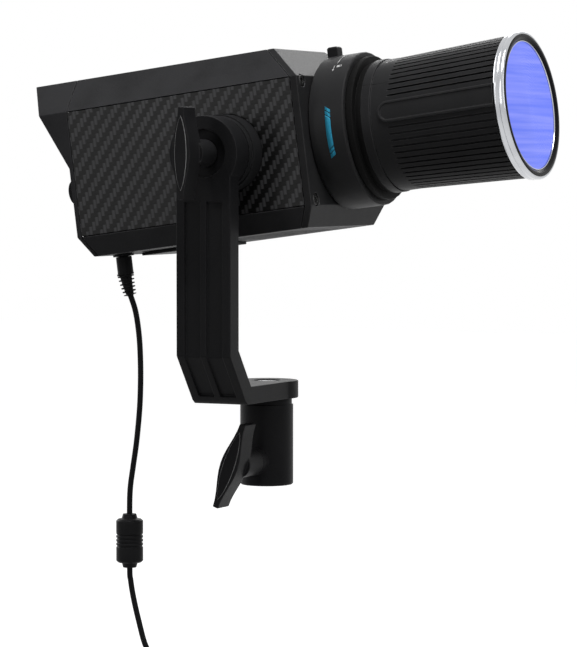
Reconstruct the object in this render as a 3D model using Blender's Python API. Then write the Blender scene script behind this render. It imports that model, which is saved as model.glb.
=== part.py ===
"""Compact fresnel spotlight on a one-armed yoke.

World frame: metres, +Z up, +X the way the light points when level, -Y the side that
the yoke's arm is on. The origin is the centre of the blind end of the receiver's bore,
which is where the light rests on its spigot. The lamp head is modelled level in its own
frame, whose origin is the tilt pivot, and an empty then tilts it.
"""

import math

import bmesh
import bpy
from mathutils import Vector

# Clearances between pieces
GAP = 0.0003
RUNNING = 0.00035
SLIDE_PLAY = 0.0004

# Sides of round pieces, by how large they are
LARGE_SIDES = 40
MEDIUM_SIDES = 28
SMALL_SIDES = 14

# Head: cross-section across the light's axis, from the pivot
HEAD_TILT = math.radians(7.5)
HALF_WIDTH = 0.0552
TOP_HALF_WIDTH = 0.037
BOTTOM_HALF_WIDTH = 0.0492
TOP_Z = 0.0606
SHOULDER_Z = 0.0406
SILL_Z = -0.0382
BOTTOM_Z = -0.0510
WALL = 0.0024
PANEL_THICKNESS = 0.0016

# Head: stations along the light's axis
SHELL_REAR = -0.1072
SHELL_FRONT = 0.0474
TOP_MITRE = 1.07
BOTTOM_MITRE = 0.55
REAR_RIM = 0.0031
HOOD_FOOT_Z = 0.005
HOOD_OVERHANG = 0.0270
BEZEL_THICKNESS = 0.0046
FASCIA_THICKNESS = 0.003

# Light axis and optics
LIGHT_Z = 0.0057
LIGHT_HOLE_R = 0.0355
MOUNT_R = 0.0474
MOUNT_BORE_R = 0.0365
MOUNT_LENGTH = 0.0234
MOUNT_GROOVE_R = 0.0439
MOUNT_LIP_R = 0.0410
GROOVE_START = 0.0090
GROOVE_WIDTH = 0.0052
LIP_WIDTH = 0.0034
LUG_COUNT = 3
LUG_DEGREES = 28.0
NOTCH_DEGREES = 34.0
LOCK_TURN_DEGREES = 33.0
LENS_FLANGE_R = 0.0444
LENS_FLANGE_WIDTH = 0.0042
LENS_NECK_R = 0.0398
LENS_NECK_LENGTH = 0.0036
SLEEVE_R = 0.0380
SLEEVE_LENGTH = 0.062
SLEEVE_WALL = 0.0022
BARREL_LENGTH = 0.0875
BARREL_COLLAR_R = 0.0410
BARREL_COLLAR_LENGTH = 0.0060
BARREL_REAR_R = 0.0404
BARREL_FRONT_R = 0.0432
RIB_COUNT = 64
RIB_DEPTH = 0.0013
RIB_START = 0.0170
RIB_RAMP = 0.0022
PAD_LENGTH = 0.0765
PAD_WIDTH = 0.0136
PAD_HEIGHT = 0.0015
PAD_DEGREES = 8.6
FRONT_RING_R = 0.0450
FRONT_RING_WIDTH = 0.0073
LENS_R = 0.0387
LENS_THICKNESS = 0.0032
LENS_RECESS = 0.0019
ZOOM_TRAVEL = 0.022

# Yoke, from the pivot
PIVOT_HEIGHT = 0.160
BOSS_R = 0.02375
BOSS_LENGTH = 0.0141
WASHER_R = 0.0200
WASHER_THICKNESS = 0.0012
EYE_R = 0.0228
EYE_THICKNESS = 0.0164
CUP_R = 0.0145
CUP_DEPTH = 0.0032
ARM_WIDTH = 0.0364
ARM_THICKNESS = 0.0120
ARM_BEND_DROP = 0.1220
CHANNEL_WIDTH = 0.0104
CHANNEL_RIB = 0.0043
CHANNEL_DEPTH = 0.0018
CHANNEL_TOP_DROP = 0.0290
PLATE_TOP_DROP = 0.1412
PLATE_THICKNESS = 0.0109
PLATE_END_R = 0.0198
PLATE_CORNER_Y = -0.0585
BOLT_R = 0.0040
RECEIVER_R = 0.0166
RECEIVER_LENGTH = 0.0545
RECEIVER_NECK = 0.0040
BORE_R = 0.0080
BORE_DEPTH = 0.0466

# T-handles
HANDLE_LENGTH = 0.0550
HANDLE_WIDTH = 0.0124
HANDLE_END_WIDTH = 0.0038
HANDLE_DEPTH = 0.0155
HANDLE_HUB_R = 0.0085
HANDLE_HUB_LENGTH = 0.0165
CLAMP_DROP = 0.0310
CLAMP_BOSS_R = 0.0085
CLAMP_BOSS_LENGTH = 0.0045
CLAMP_TILT_DEGREES = 20.0
STUD_R = 0.0030

# Rear controls
KNOB_R = 0.00835
KNOB_Y = 0.040
KNOB_Z = -0.009
KNOB_REACH = 0.0104
KNOB_SHAFT_R = 0.0030
KEY_R = 0.0032
KEY_PITCH = 0.0125
KEY_COUNT = 4
KEY_Z = 0.004
KEY_STAND = 0.0016
KEY_TRAVEL = 0.0010
POWER_R = 0.0058
POWER_Z = -0.026
DISPLAY_WIDTH = 0.046
DISPLAY_HEIGHT = 0.026
DISPLAY_Z = 0.0275
DISPLAY_THICKNESS = 0.0018
BOARD_THICKNESS = 0.0016

# Release button, screws and foot
RELEASE_LENGTH = 0.0069
RELEASE_WIDTH = 0.0080
RELEASE_TOP = 0.0060
RELEASE_DEPTH = 0.0052
RELEASE_TRAVEL = 0.0025
SCREW_HEAD_R = 0.0034
SCREW_SHAFT_R = 0.0016
SCREW_INSET = 0.0078
SCREW_TOP_Z = 0.0377
SCREW_BOTTOM_Z = -0.0348
FOOT_LENGTH = 0.052
FOOT_WIDTH = 0.044
FOOT_THICKNESS = 0.0020
FOOT_REAR = -0.084

# Inside the head
SINK_REAR = -0.048
SINK_FRONT = 0.030
SINK_BASE = 0.005
SINK_FIN = 0.0016
FIN_COUNT = 15
SINK_HALF_HEIGHT = 0.034
LED_R = 0.014
LED_THICKNESS = 0.004
FAN_SIDE = 0.070
FAN_DEPTH = 0.015
FAN_GUARD = 0.0015
FAN_HUB_R = 0.013
FAN_R = 0.0315
BLADE_COUNT = 7
BLADE_THICKNESS = 0.0022

# Power lead: its route in the plane of its own y, from the pivot, as hand-placed points
CORD_R = 0.0018
CORD_Y = -0.030
INLET_X = -0.0928
INLET_R = 0.0054
INLET_LIP = 0.0014
SHANK_R = 0.0028
PLUG_R = 0.0050
PLUG_LENGTH = 0.0110
RELIEF_ROUTE = ((-0.0836, -0.0758), (-0.0826, -0.0815), (-0.0807, -0.0875))
UPPER_ROUTE = (
    (-0.0806, -0.0879), (-0.0767, -0.0990), (-0.0743, -0.1140), (-0.0734, -0.1297),
    (-0.0734, -0.1454), (-0.0742, -0.1611), (-0.0763, -0.1804), (-0.0788, -0.1962),
    (-0.0809, -0.2103), (-0.0814, -0.2258),
)
FERRITE_R = 0.0085
FERRITE_TOP = -0.2261
FERRITE_LENGTH = 0.0340
LOWER_ROUTE = (
    (-0.0814, -0.2604), (-0.0808, -0.2680), (-0.0788, -0.2790), (-0.0750, -0.2938),
    (-0.0701, -0.3092), (-0.0676, -0.3205),
)
COIL_MEAN_R = 0.0222
COIL_SECTION_R = 0.0058
TAIL_LENGTH = 0.030
CONNECTOR_R = 0.0056
CONNECTOR_LENGTH = 0.034


# ---------------------------------------------------------------- tools

def clear_scene():
    for thing in list(bpy.data.objects):
        bpy.data.objects.remove(thing, do_unlink=True)


def material(name, colour, roughness, metallic=0.0):
    made = bpy.data.materials.new(name)
    made.use_nodes = True
    shader = made.node_tree.nodes["Principled BSDF"]
    shader.inputs["Base Color"].default_value = (*colour, 1.0)
    shader.inputs["Roughness"].default_value = roughness
    shader.inputs["Metallic"].default_value = metallic
    return made


def empty(name, location, parent=None, rotation=(0.0, 0.0, 0.0)):
    made = bpy.data.objects.new(name, None)
    made.location = location
    made.rotation_euler = rotation
    made.parent = parent
    bpy.context.collection.objects.link(made)
    return made


def finish(name, shape, surface, parent=None, location=(0.0, 0.0, 0.0), rotation=(0.0, 0.0, 0.0)):
    bmesh.ops.recalc_face_normals(shape, faces=shape.faces)
    mesh = bpy.data.meshes.new(name)
    shape.to_mesh(mesh)
    shape.free()
    mesh.shade_smooth()
    mesh.set_sharp_from_angle(angle=math.radians(32))
    mesh.materials.append(surface)
    made = bpy.data.objects.new(name, mesh)
    made.location = location
    made.rotation_euler = rotation
    made.parent = parent
    bpy.context.collection.objects.link(made)
    return made


def hidden(made):
    made.hide_render = True
    made.display_type = "WIRE"
    return made


def combine(target, other, operation):
    change = target.modifiers.new(other.name, "BOOLEAN")
    change.operation = operation
    change.object = other
    change.solver = "EXACT"


def cut(target, other):
    combine(target, hidden(other), "DIFFERENCE")


def join(target, other):
    combine(target, hidden(other), "UNION")


def place(axis, across, up, along):
    """A point from its two coordinates across an axis and the one along it."""
    if axis == "X":
        return (along, across, up)
    if axis == "Y":
        return (across, along, up)
    return (across, up, along)


def prism(outline, axis, start, end, shape=None):
    """An outline extruded along an axis; more prisms may go into the same mesh."""
    shape = shape or bmesh.new()
    low = [shape.verts.new(place(axis, a, b, start)) for a, b in outline]
    high = [shape.verts.new(place(axis, a, b, end)) for a, b in outline]
    shape.faces.new(low)
    shape.faces.new(high)
    for i in range(len(outline)):
        j = (i + 1) % len(outline)
        shape.faces.new((low[i], low[j], high[j], high[i]))
    return shape


def rectangle(across, up, width, height):
    return [
        (across - width / 2, up - height / 2),
        (across + width / 2, up - height / 2),
        (across + width / 2, up + height / 2),
        (across - width / 2, up + height / 2),
    ]


def circle(radius, sides, across=0.0, up=0.0):
    turns = (2 * math.pi * i / sides for i in range(sides))
    return [(across + radius * math.cos(t), up + radius * math.sin(t)) for t in turns]


def turned(profile, axis, sides):
    """A ring from a closed (along, radius) profile, or a solid if it meets the axis."""
    shape = bmesh.new()
    rings = []
    for along, radius in profile:
        if radius == 0.0:
            rings.append([shape.verts.new(place(axis, 0.0, 0.0, along))])
        else:
            points = circle(radius, sides)
            rings.append([shape.verts.new(place(axis, a, b, along)) for a, b in points])
    for first, second in zip(rings, rings[1:] + rings[:1]):
        if len(first) == 1 and len(second) == 1:
            continue
        for i in range(sides):
            j = (i + 1) % sides
            corners = (
                first[i % len(first)], first[j % len(first)],
                second[j % len(second)], second[i % len(second)],
            )
            unique = list(dict.fromkeys(corners))
            shape.faces.new(unique)
    return shape


def smooth_route(route, spacing):
    """Points along a smooth curve through a hand-placed route in the lead's plane."""
    points = [Vector((x, 0.0, z)) for x, z in route]
    line = []
    for i in range(len(points) - 1):
        before = points[max(i - 1, 0)]
        start = points[i]
        end = points[i + 1]
        after = points[min(i + 2, len(points) - 1)]
        steps = max(1, round((end - start).length / spacing))
        for k in range(steps):
            t = k / steps
            line.append(0.5 * (
                2 * start + (end - before) * t
                + (2 * before - 5 * start + 4 * end - after) * t * t
                + (3 * start - before - 3 * end + after) * t ** 3
            ))
    line.append(points[-1])
    return line


def swept(line, radii, sides):
    """A tube whose radius changes along a line in the x-z plane."""
    shape = bmesh.new()
    rings = []
    for i, point in enumerate(line):
        ahead = line[min(i + 1, len(line) - 1)] - line[max(i - 1, 0)]
        ahead.normalize()
        side = Vector((0.0, 1.0, 0.0))
        other = ahead.cross(side)
        ring = [point + side * a + other * b for a, b in circle(radii[i], sides)]
        rings.append([shape.verts.new(p) for p in ring])
    shape.faces.new(rings[0])
    shape.faces.new(rings[-1])
    for first, second in zip(rings, rings[1:]):
        for i in range(sides):
            j = (i + 1) % sides
            shape.faces.new((first[i], first[j], second[j], second[i]))
    return shape


# ---------------------------------------------------------------- head shapes

def seam_front(z):
    """Where the shell ends: upright beside the panels, raked back above and below them."""
    if z > SHOULDER_Z:
        return SHELL_FRONT - (z - SHOULDER_Z) * TOP_MITRE
    if z < SILL_Z:
        return SHELL_FRONT - (SILL_Z - z) * BOTTOM_MITRE
    return SHELL_FRONT


def seam_rear(z):
    if z < SILL_Z:
        return SHELL_REAR + (SILL_Z - z) * BOTTOM_MITRE
    return SHELL_REAR


def hood_rear(z):
    """The rear cover's edge, which reaches back over the controls above its foot."""
    if z > HOOD_FOOT_Z:
        return seam_rear(z) - REAR_RIM - (z - HOOD_FOOT_Z) / (TOP_Z - HOOD_FOOT_Z) * HOOD_OVERHANG
    return seam_rear(z) - REAR_RIM


def section(inset=0.0):
    """The head's eight-sided outline, moved in by a wall."""
    side = HALF_WIDTH - inset
    top = TOP_HALF_WIDTH - inset * 0.55
    bottom = BOTTOM_HALF_WIDTH - inset * 0.8
    right = [
        (bottom, BOTTOM_Z + inset), (side, SILL_Z + inset * 0.3),
        (side, SHOULDER_Z - inset * 0.4), (top, TOP_Z - inset),
    ]
    return right + [(-y, z) for y, z in reversed(right)]


def half_width_at(z, inset):
    """How far the moved-in outline reaches to a side at a height."""
    right = section(inset)[:4]
    for (y1, z1), (y2, z2) in zip(right, right[1:]):
        if z1 <= z <= z2:
            return y1 + (y2 - y1) * (z - z1) / (z2 - z1)
    return 0.0


def pocketed_section():
    """The shell's outline, with the sides set in where the panels lie."""
    floor = HALF_WIDTH - PANEL_THICKNESS - GAP
    right = [
        (BOTTOM_HALF_WIDTH, BOTTOM_Z), (HALF_WIDTH, SILL_Z), (floor, SILL_Z + GAP),
        (floor, SHOULDER_Z - GAP), (HALF_WIDTH, SHOULDER_Z), (TOP_HALF_WIDTH, TOP_Z),
    ]
    return right + [(-y, z) for y, z in reversed(right)]


def with_breaks(outline, heights):
    """Adds a point where an outline crosses each height, so that bent ends stay flat."""
    result = []
    for i, (y, z) in enumerate(outline):
        result.append((y, z))
        y2, z2 = outline[(i + 1) % len(outline)]
        between = sorted((h for h in heights if min(z, z2) < h < max(z, z2)), reverse=z2 < z)
        result.extend((y + (y2 - y) * (h - z) / (z2 - z), h) for h in between)
    return result


def raked_block(outline, rear, front):
    """A solid along X whose two ends follow heights; each end is cut into level bands."""
    shape = bmesh.new()
    low = [shape.verts.new((rear(z), y, z)) for y, z in outline]
    high = [shape.verts.new((front(z), y, z)) for y, z in outline]
    count = len(outline)
    for i in range(count):
        j = (i + 1) % count
        shape.faces.new((low[i], low[j], high[j], high[i]))
    bottom, top = 0, count // 2
    for ring in (low, high):
        for k in range(top - 1):
            a, b = ring[bottom + k], ring[bottom + k + 1]
            c, d = ring[count - 2 - k], ring[count - 1 - k]
            shape.faces.new((a, b, c, d))
    return shape


def inner_cutter(name, inset, start, end, parent, surface):
    return finish(name, prism(section(inset), "X", start, end), surface, parent)


def body_shell(head, paint):
    outline = pocketed_section()
    made = finish("body_shell", raked_block(outline, seam_rear, seam_front), paint, head)
    hollow_inset = WALL + PANEL_THICKNESS + GAP
    cut(made, inner_cutter("shell_hollow", hollow_inset, -0.2, 0.1, head, paint))
    slots = bmesh.new()
    for i in range(9):
        across = (i - 4) * 0.0075
        prism(rectangle(across, BOTTOM_Z, 0.003, 0.012), "X", -0.026, 0.026, slots)
    cut(made, finish("vent_slots", slots, paint, head))
    inlet = circle(INLET_R + GAP, MEDIUM_SIDES, INLET_X, CORD_Y)
    cut(made, finish("inlet_hole", prism(inlet, "Z", BOTTOM_Z - 0.01, BOTTOM_Z + 0.01), paint, head))
    return made


def side_panel(name, side, head, weave):
    low, high = SILL_Z + 2 * GAP, SHOULDER_Z - 2 * GAP
    outer = HALF_WIDTH
    inner = HALF_WIDTH - PANEL_THICKNESS
    middle = (SHELL_REAR + SHELL_FRONT) / 2
    outline = rectangle(middle, (low + high) / 2, SHELL_FRONT - SHELL_REAR, high - low)
    return finish(name, prism(outline, "Y", side * inner, side * outer), weave, head)


def rear_cover(head, plastic):
    outline = with_breaks(section(), (HOOD_FOOT_Z,))
    front = lambda z: seam_rear(z) - GAP
    made = finish("rear_cover", raked_block(outline, hood_rear, front), plastic, head)
    cut(made, inner_cutter("hood_hollow", WALL, -0.2, 0.0, head, plastic))
    return made


def fascia_face():
    """The rear plane that the controls stand on."""
    return SHELL_REAR + GAP


def key_places():
    return [((i - (KEY_COUNT - 1) / 2) * KEY_PITCH, KEY_Z) for i in range(KEY_COUNT)]


def control_fascia(head, plastic):
    inset = WALL + PANEL_THICKNESS + 2 * GAP
    rear = lambda z: seam_rear(z) + GAP
    front = lambda z: seam_rear(z) + GAP + FASCIA_THICKNESS
    made = finish("control_fascia", raked_block(section(inset), rear, front), plastic, head)
    start, end = SHELL_REAR - 0.002, SHELL_REAR + 0.006
    holes = bmesh.new()
    window = rectangle(0.0, DISPLAY_Z, DISPLAY_WIDTH + 2 * GAP, DISPLAY_HEIGHT + 2 * GAP)
    prism(window, "X", start, end, holes)
    for side in (-1, 1):
        prism(circle(KNOB_SHAFT_R + RUNNING, SMALL_SIDES, side * KNOB_Y, KNOB_Z), "X", start, end, holes)
    for y, z in key_places():
        prism(circle(KEY_R + RUNNING, SMALL_SIDES, y, z), "X", start, end, holes)
    prism(circle(POWER_R + RUNNING, MEDIUM_SIDES, 0.0, POWER_Z), "X", start, end, holes)
    cut(made, finish("fascia_holes", holes, plastic, head))
    return made


def display_window(head, glass):
    outline = rectangle(0.0, DISPLAY_Z, DISPLAY_WIDTH, DISPLAY_HEIGHT)
    start = fascia_face() + 0.0004
    return finish("display_window", prism(outline, "X", start, start + DISPLAY_THICKNESS), glass, head)


def knob(name, side, head, plastic):
    """A turned knob on its shaft, with a flange behind the fascia."""
    face = -GAP - 0.0002
    back = FASCIA_THICKNESS + GAP
    profile = [
        (-KNOB_REACH - 0.0005, 0.0), (-KNOB_REACH - 0.0005, KNOB_R - 0.0011),
        (-KNOB_REACH + 0.0006, KNOB_R), (face, KNOB_R), (face, KNOB_SHAFT_R),
        (back, KNOB_SHAFT_R), (back, KNOB_SHAFT_R + 0.0012),
        (back + 0.0012, KNOB_SHAFT_R + 0.0012), (back + 0.0012, 0.0),
    ]
    place_at = (fascia_face(), side * KNOB_Y, KNOB_Z)
    return finish(name, turned(profile, "X", MEDIUM_SIDES), plastic, head, place_at)


def push_key(name, y, z, radius, stand, head, rubber):
    """A cap through the fascia with a flange that stops it behind."""
    back = FASCIA_THICKNESS + GAP
    profile = [
        (-stand, 0.0), (-stand, radius - 0.0004), (-stand + 0.0004, radius), (back, radius),
        (back, radius + 0.0010), (back + 0.0010, radius + 0.0010), (back + 0.0010, 0.0),
    ]
    return finish(name, turned(profile, "X", SMALL_SIDES), rubber, head, (fascia_face(), y, z))


def control_board(head, circuit):
    """The board behind the keys, held by its edges, far enough back for their travel."""
    start = fascia_face() + FASCIA_THICKNESS + 0.0045
    side = HALF_WIDTH - WALL - PANEL_THICKNESS - 2 * GAP
    outline = rectangle(0.0, 0.0025, 2 * side, 0.070)
    return finish("control_board", prism(outline, "X", start, start + BOARD_THICKNESS), circuit, head)


def screw_places():
    across = HALF_WIDTH - SCREW_INSET
    return [(s * across, z) for s in (-1, 1) for z in (SCREW_TOP_Z, SCREW_BOTTOM_Z)]


def front_bezel(head, paint):
    rear = lambda z: seam_front(z) + GAP
    front = lambda z: seam_front(z) + GAP + BEZEL_THICKNESS
    made = finish("front_bezel", raked_block(section(), rear, front), paint, head)
    face = SHELL_FRONT + GAP + BEZEL_THICKNESS
    holes = bmesh.new()
    prism(circle(LIGHT_HOLE_R, LARGE_SIDES, 0.0, LIGHT_Z), "X", 0.02, 0.07, holes)
    for y, z in screw_places():
        prism(circle(SCREW_HEAD_R + 2 * GAP, SMALL_SIDES, y, z), "X", face - 0.0030, face + 0.01, holes)
    cut(made, finish("bezel_holes", holes, paint, head))
    return made


def bezel_screw(name, y, z, head, steel):
    face = SHELL_FRONT + GAP + BEZEL_THICKNESS
    socket = 0.0014
    profile = [
        (-0.0027, 0.0), (-0.0027, SCREW_HEAD_R), (-0.0006, SCREW_HEAD_R),
        (-0.0003, SCREW_HEAD_R - 0.0003), (-0.0003, 0.0017),
        (-0.0003 - socket, 0.0017), (-0.0003 - socket, 0.0),
    ]
    return finish(name, turned(profile, "X", SMALL_SIDES), steel, head, (face, y, z))


# ---------------------------------------------------------------- optics

def mount_face():
    return SHELL_FRONT + 2 * GAP + BEZEL_THICKNESS


def sector(inner, outer, middle, width, start, end, shape):
    """A slice of a ring about X, from its middle angle and width in degrees."""
    steps = 6
    turns = [math.radians(middle + width * (k / steps - 0.5)) for k in range(steps + 1)]
    outline = [(outer * math.cos(t), outer * math.sin(t)) for t in turns]
    outline += [(inner * math.cos(t), inner * math.sin(t)) for t in reversed(turns)]
    return prism(outline, "X", start, end, shape)


def lug_middles():
    return [90.0 + 360.0 * k / LUG_COUNT for k in range(LUG_COUNT)]


def mount_ring(light, metal):
    """The bayonet: a ring with a groove behind a lip that is notched for the lugs."""
    base = mount_face()
    groove = base + GROOVE_START
    lip = groove + GROOVE_WIDTH
    rim = lip + LIP_WIDTH
    face = base + MOUNT_LENGTH
    profile = [
        (base, MOUNT_BORE_R), (groove, MOUNT_BORE_R), (groove, MOUNT_GROOVE_R),
        (lip, MOUNT_GROOVE_R), (lip, MOUNT_LIP_R), (rim, MOUNT_LIP_R),
        (rim, MOUNT_GROOVE_R), (face, MOUNT_GROOVE_R), (face, MOUNT_R - 0.0006),
        (face - 0.0006, MOUNT_R), (base + 0.0008, MOUNT_R), (base, MOUNT_R - 0.0008),
    ]
    made = finish("mount_ring", turned(profile, "X", LARGE_SIDES), metal, light)
    notches = bmesh.new()
    for middle in lug_middles():
        entry = middle + LOCK_TURN_DEGREES
        sector(MOUNT_LIP_R - 0.002, MOUNT_GROOVE_R, entry, NOTCH_DEGREES,
               lip - 0.0005, rim + 0.0005, notches)
    cut(made, finish("lug_notches", notches, metal, light))
    start = base - 0.002
    end = base + RELEASE_LENGTH - 0.0015 + GAP
    floor = MOUNT_R - RELEASE_DEPTH - RELEASE_TRAVEL - GAP
    height = 0.02
    pocket = rectangle(0.0, floor + height / 2, RELEASE_WIDTH + 2 * GAP, height)
    cut(made, finish("release_pocket", prism(pocket, "X", start, end), metal, light))
    return made


def release_button(light, metal):
    start = mount_face() - 0.0015
    low = MOUNT_R - RELEASE_DEPTH
    high = MOUNT_R + RELEASE_TOP
    outline = rectangle(0.0, (low + high) / 2, RELEASE_WIDTH, high - low)
    shape = prism(outline, "X", start, start + RELEASE_LENGTH)
    top = [e for e in shape.edges if all(v.co.z > high - 0.0001 for v in e.verts)]
    bmesh.ops.bevel(shape, geom=top, offset=0.0009, segments=1, affect="EDGES")
    return finish("release_button", shape, metal, light)


def sleeve_start():
    return mount_face() + MOUNT_LENGTH + GAP + LENS_FLANGE_WIDTH + LENS_NECK_LENGTH


def lens_tube(light, metal):
    """The lens unit's fixed tube: lugs, stop flange, neck and the sleeve the barrel rides."""
    base = mount_face()
    groove = base + GROOVE_START
    flange = base + MOUNT_LENGTH + GAP
    neck = flange + LENS_FLANGE_WIDTH
    sleeve = sleeve_start()
    end = sleeve + SLEEVE_LENGTH
    outer = MOUNT_LIP_R - RUNNING
    bore = SLEEVE_R - SLEEVE_WALL
    rear = groove + GAP
    profile = [
        (rear, bore), (end, bore), (end, SLEEVE_R), (sleeve, SLEEVE_R), (sleeve, LENS_NECK_R),
        (neck, LENS_NECK_R), (neck, LENS_FLANGE_R - 0.0005), (neck - 0.0005, LENS_FLANGE_R),
        (flange, LENS_FLANGE_R), (flange, outer), (rear, outer),
    ]
    made = finish("lens_tube", turned(profile, "X", LARGE_SIDES), metal, light)
    lugs = bmesh.new()
    front = groove + GROOVE_WIDTH - GAP
    for middle in lug_middles():
        sector(outer - 0.002, MOUNT_GROOVE_R - RUNNING, middle, LUG_DEGREES, rear, front, lugs)
    join(made, finish("lug_blanks", lugs, metal, light))
    return made


def barrel_start():
    return sleeve_start() + SLIDE_PLAY


def barrel_radius(along):
    """The rib tops' radius: the barrel widens evenly to its front."""
    share = (along - BARREL_COLLAR_LENGTH) / (BARREL_LENGTH - BARREL_COLLAR_LENGTH)
    return BARREL_REAR_R + (BARREL_FRONT_R - BARREL_REAR_R) * share


def ribbed_outline(radius, top_drop, groove_drop):
    """Rib tops and grooves in turn, with a plain land at full radius under each pad."""
    pitch = 2 * math.pi / RIB_COUNT
    land = math.asin(PAD_WIDTH / 2 / BARREL_REAR_R) + pitch * 0.75
    outline = []
    for i in range(RIB_COUNT):
        turn = i * pitch
        from_pad = (turn - math.radians(180 - PAD_DEGREES) + math.pi / 2) % math.pi - math.pi / 2
        top, groove = radius - top_drop, radius - groove_drop
        if abs(from_pad) < land:
            top = groove = radius
        for t, r in ((turn, top), (turn + pitch / 2, groove)):
            outline.append((r * math.cos(t), r * math.sin(t)))
    return outline


def zoom_barrel(light, rubber):
    """The sliding barrel: a smooth collar, then ribs that run to the front ring."""
    start = barrel_start()
    ribs_rise = RIB_START + RIB_RAMP
    stations = (
        (0.0, BARREL_COLLAR_R, 0.0, 0.0),
        (BARREL_COLLAR_LENGTH, BARREL_COLLAR_R, 0.0, 0.0),
        (BARREL_COLLAR_LENGTH + 0.0002, BARREL_REAR_R, 0.0, 0.0),
        (RIB_START, barrel_radius(RIB_START), RIB_DEPTH, RIB_DEPTH),
        (ribs_rise, barrel_radius(ribs_rise), 0.0, RIB_DEPTH),
        (BARREL_LENGTH, BARREL_FRONT_R, 0.0, RIB_DEPTH),
    )
    shape = bmesh.new()
    rings = []
    for along, *size in stations:
        ring = [shape.verts.new((start + along, a, b)) for a, b in ribbed_outline(*size)]
        rings.append(ring)
    shape.faces.new(rings[0])
    shape.faces.new(rings[-1])
    count = len(rings[0])
    for first, second in zip(rings, rings[1:]):
        for i in range(count):
            j = (i + 1) % count
            shape.faces.new((first[i], first[j], second[j], second[i]))
    made = finish("zoom_barrel", shape, rubber, light)
    bore = prism(circle(SLEEVE_R + SLIDE_PLAY, LARGE_SIDES), "X", start - 0.01, start + BARREL_LENGTH + 0.01)
    cut(made, finish("barrel_bore", bore, rubber, light))
    return made


def barrel_pad(name, turn, light, rubber):
    """A flat plaque along the barrel, with a round rear end, seated on its land."""
    end = barrel_start() + BARREL_LENGTH
    start = end - PAD_LENGTH
    half = PAD_WIDTH / 2
    nose = [math.pi / 2 + math.pi * k / 10 for k in range(11)]
    outline = [(start + half + half * math.cos(t), half * math.sin(t)) for t in nose]
    outline += [(end, -half), (end, half)]
    floor = lambda x: barrel_radius(x - barrel_start()) + GAP
    shape = bmesh.new()
    low = [shape.verts.new((x, y, floor(x))) for x, y in outline]
    high = [shape.verts.new((x, y, floor(x) + PAD_HEIGHT)) for x, y in outline]
    shape.faces.new(low)
    shape.faces.new(high)
    for i in range(len(outline)):
        j = (i + 1) % len(outline)
        shape.faces.new((low[i], low[j], high[j], high[i]))
    return finish(name, shape, rubber, light, rotation=(turn, 0.0, 0.0))


def ring_start():
    return barrel_start() + BARREL_LENGTH + GAP


def front_ring(light, chrome):
    """The bright front ring, with a seat for the lens and a lip in front of nothing."""
    start = ring_start()
    end = start + FRONT_RING_WIDTH
    seat = end - LENS_RECESS - LENS_THICKNESS
    profile = [
        (start, LENS_R - 0.0030), (seat - GAP, LENS_R - 0.0030), (seat - GAP, LENS_R + GAP),
        (end, LENS_R + GAP), (end, FRONT_RING_R - 0.0012), (end - 0.0012, FRONT_RING_R),
        (start + 0.0008, FRONT_RING_R), (start, FRONT_RING_R - 0.0008),
    ]
    return finish("front_ring", turned(profile, "X", LARGE_SIDES), chrome, light)


def fresnel_lens(light, glass):
    """Stepped rings on the back of the disc, rising towards the middle."""
    end = ring_start() + FRONT_RING_WIDTH - LENS_RECESS
    back = end - LENS_THICKNESS
    rings = 4
    profile = [(end, 0.0), (end, LENS_R), (back, LENS_R)]
    edge = LENS_R - 0.0022
    for k in range(rings):
        outer = edge * (1 - k / rings)
        inner = edge * (1 - (k + 1) / rings)
        profile.append((back, outer))
        profile.append((back + 0.0009, inner + 0.0002 if k < rings - 1 else 0.0))
    return finish("fresnel_lens", turned(profile, "X", LARGE_SIDES), glass, light)


# ---------------------------------------------------------------- inside the head

def heat_sink(head, alloy):
    """A comb extruded upright: a thick front plate with fins running back."""
    side = HALF_WIDTH - WALL - PANEL_THICKNESS - 2 * GAP
    pitch = (2 * side - SINK_FIN) / (FIN_COUNT - 1)
    outline = [(SINK_FRONT, side), (SINK_FRONT, -side)]
    for i in range(FIN_COUNT):
        near = -side + i * pitch
        far = near + SINK_FIN
        outline += [(SINK_REAR, near), (SINK_REAR, far)]
        if i < FIN_COUNT - 1:
            outline += [(SINK_FRONT - SINK_BASE, far), (SINK_FRONT - SINK_BASE, near + pitch)]
    low, high = -SINK_HALF_HEIGHT, SINK_HALF_HEIGHT
    return finish("heat_sink", prism(outline, "Z", low, high), alloy, head)


def led_module(light, ceramic):
    start = SINK_FRONT + GAP
    profile = [
        (start, 0.0), (start, LED_R), (start + 0.002, LED_R), (start + 0.002, LED_R * 0.6),
        (start + LED_THICKNESS, LED_R * 0.6), (start + LED_THICKNESS, 0.0),
    ]
    return finish("led_module", turned(profile, "X", MEDIUM_SIDES), ceramic, light)


def reflector(light, alloy):
    """A cone from the emitter to the bezel's light hole."""
    start = SINK_FRONT + GAP + 0.002 + GAP
    end = mount_face() + GROOVE_START - 0.001
    neck = LED_R * 0.6 + GAP
    mouth = LIGHT_HOLE_R - GAP
    profile = [
        (start, neck), (end - 0.002, mouth - 0.0012), (end, mouth - 0.0012), (end, mouth),
        (end - 0.014, mouth), (start, neck + 0.0030),
    ]
    return finish("reflector", turned(profile, "X", LARGE_SIDES), alloy, light)


def fan_frame(head, plastic):
    end = SINK_REAR - GAP
    start = end - FAN_DEPTH
    outline = rectangle(0.0, 0.0, FAN_SIDE, FAN_SIDE)
    made = finish("fan_frame", prism(outline, "X", start, end), plastic, head)
    bore = prism(circle(FAN_R + 0.0008, LARGE_SIDES), "X", start + FAN_GUARD, end + 0.01)
    cut(made, finish("fan_bore", bore, plastic, head))
    windows = bmesh.new()
    for k in range(3):
        sector(FAN_HUB_R, FAN_R - 0.001, 90 + 120 * k, 112, start - 0.01,
               start + FAN_GUARD + 0.001, windows)
    cut(made, finish("fan_windows", windows, plastic, head))
    return made


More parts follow.
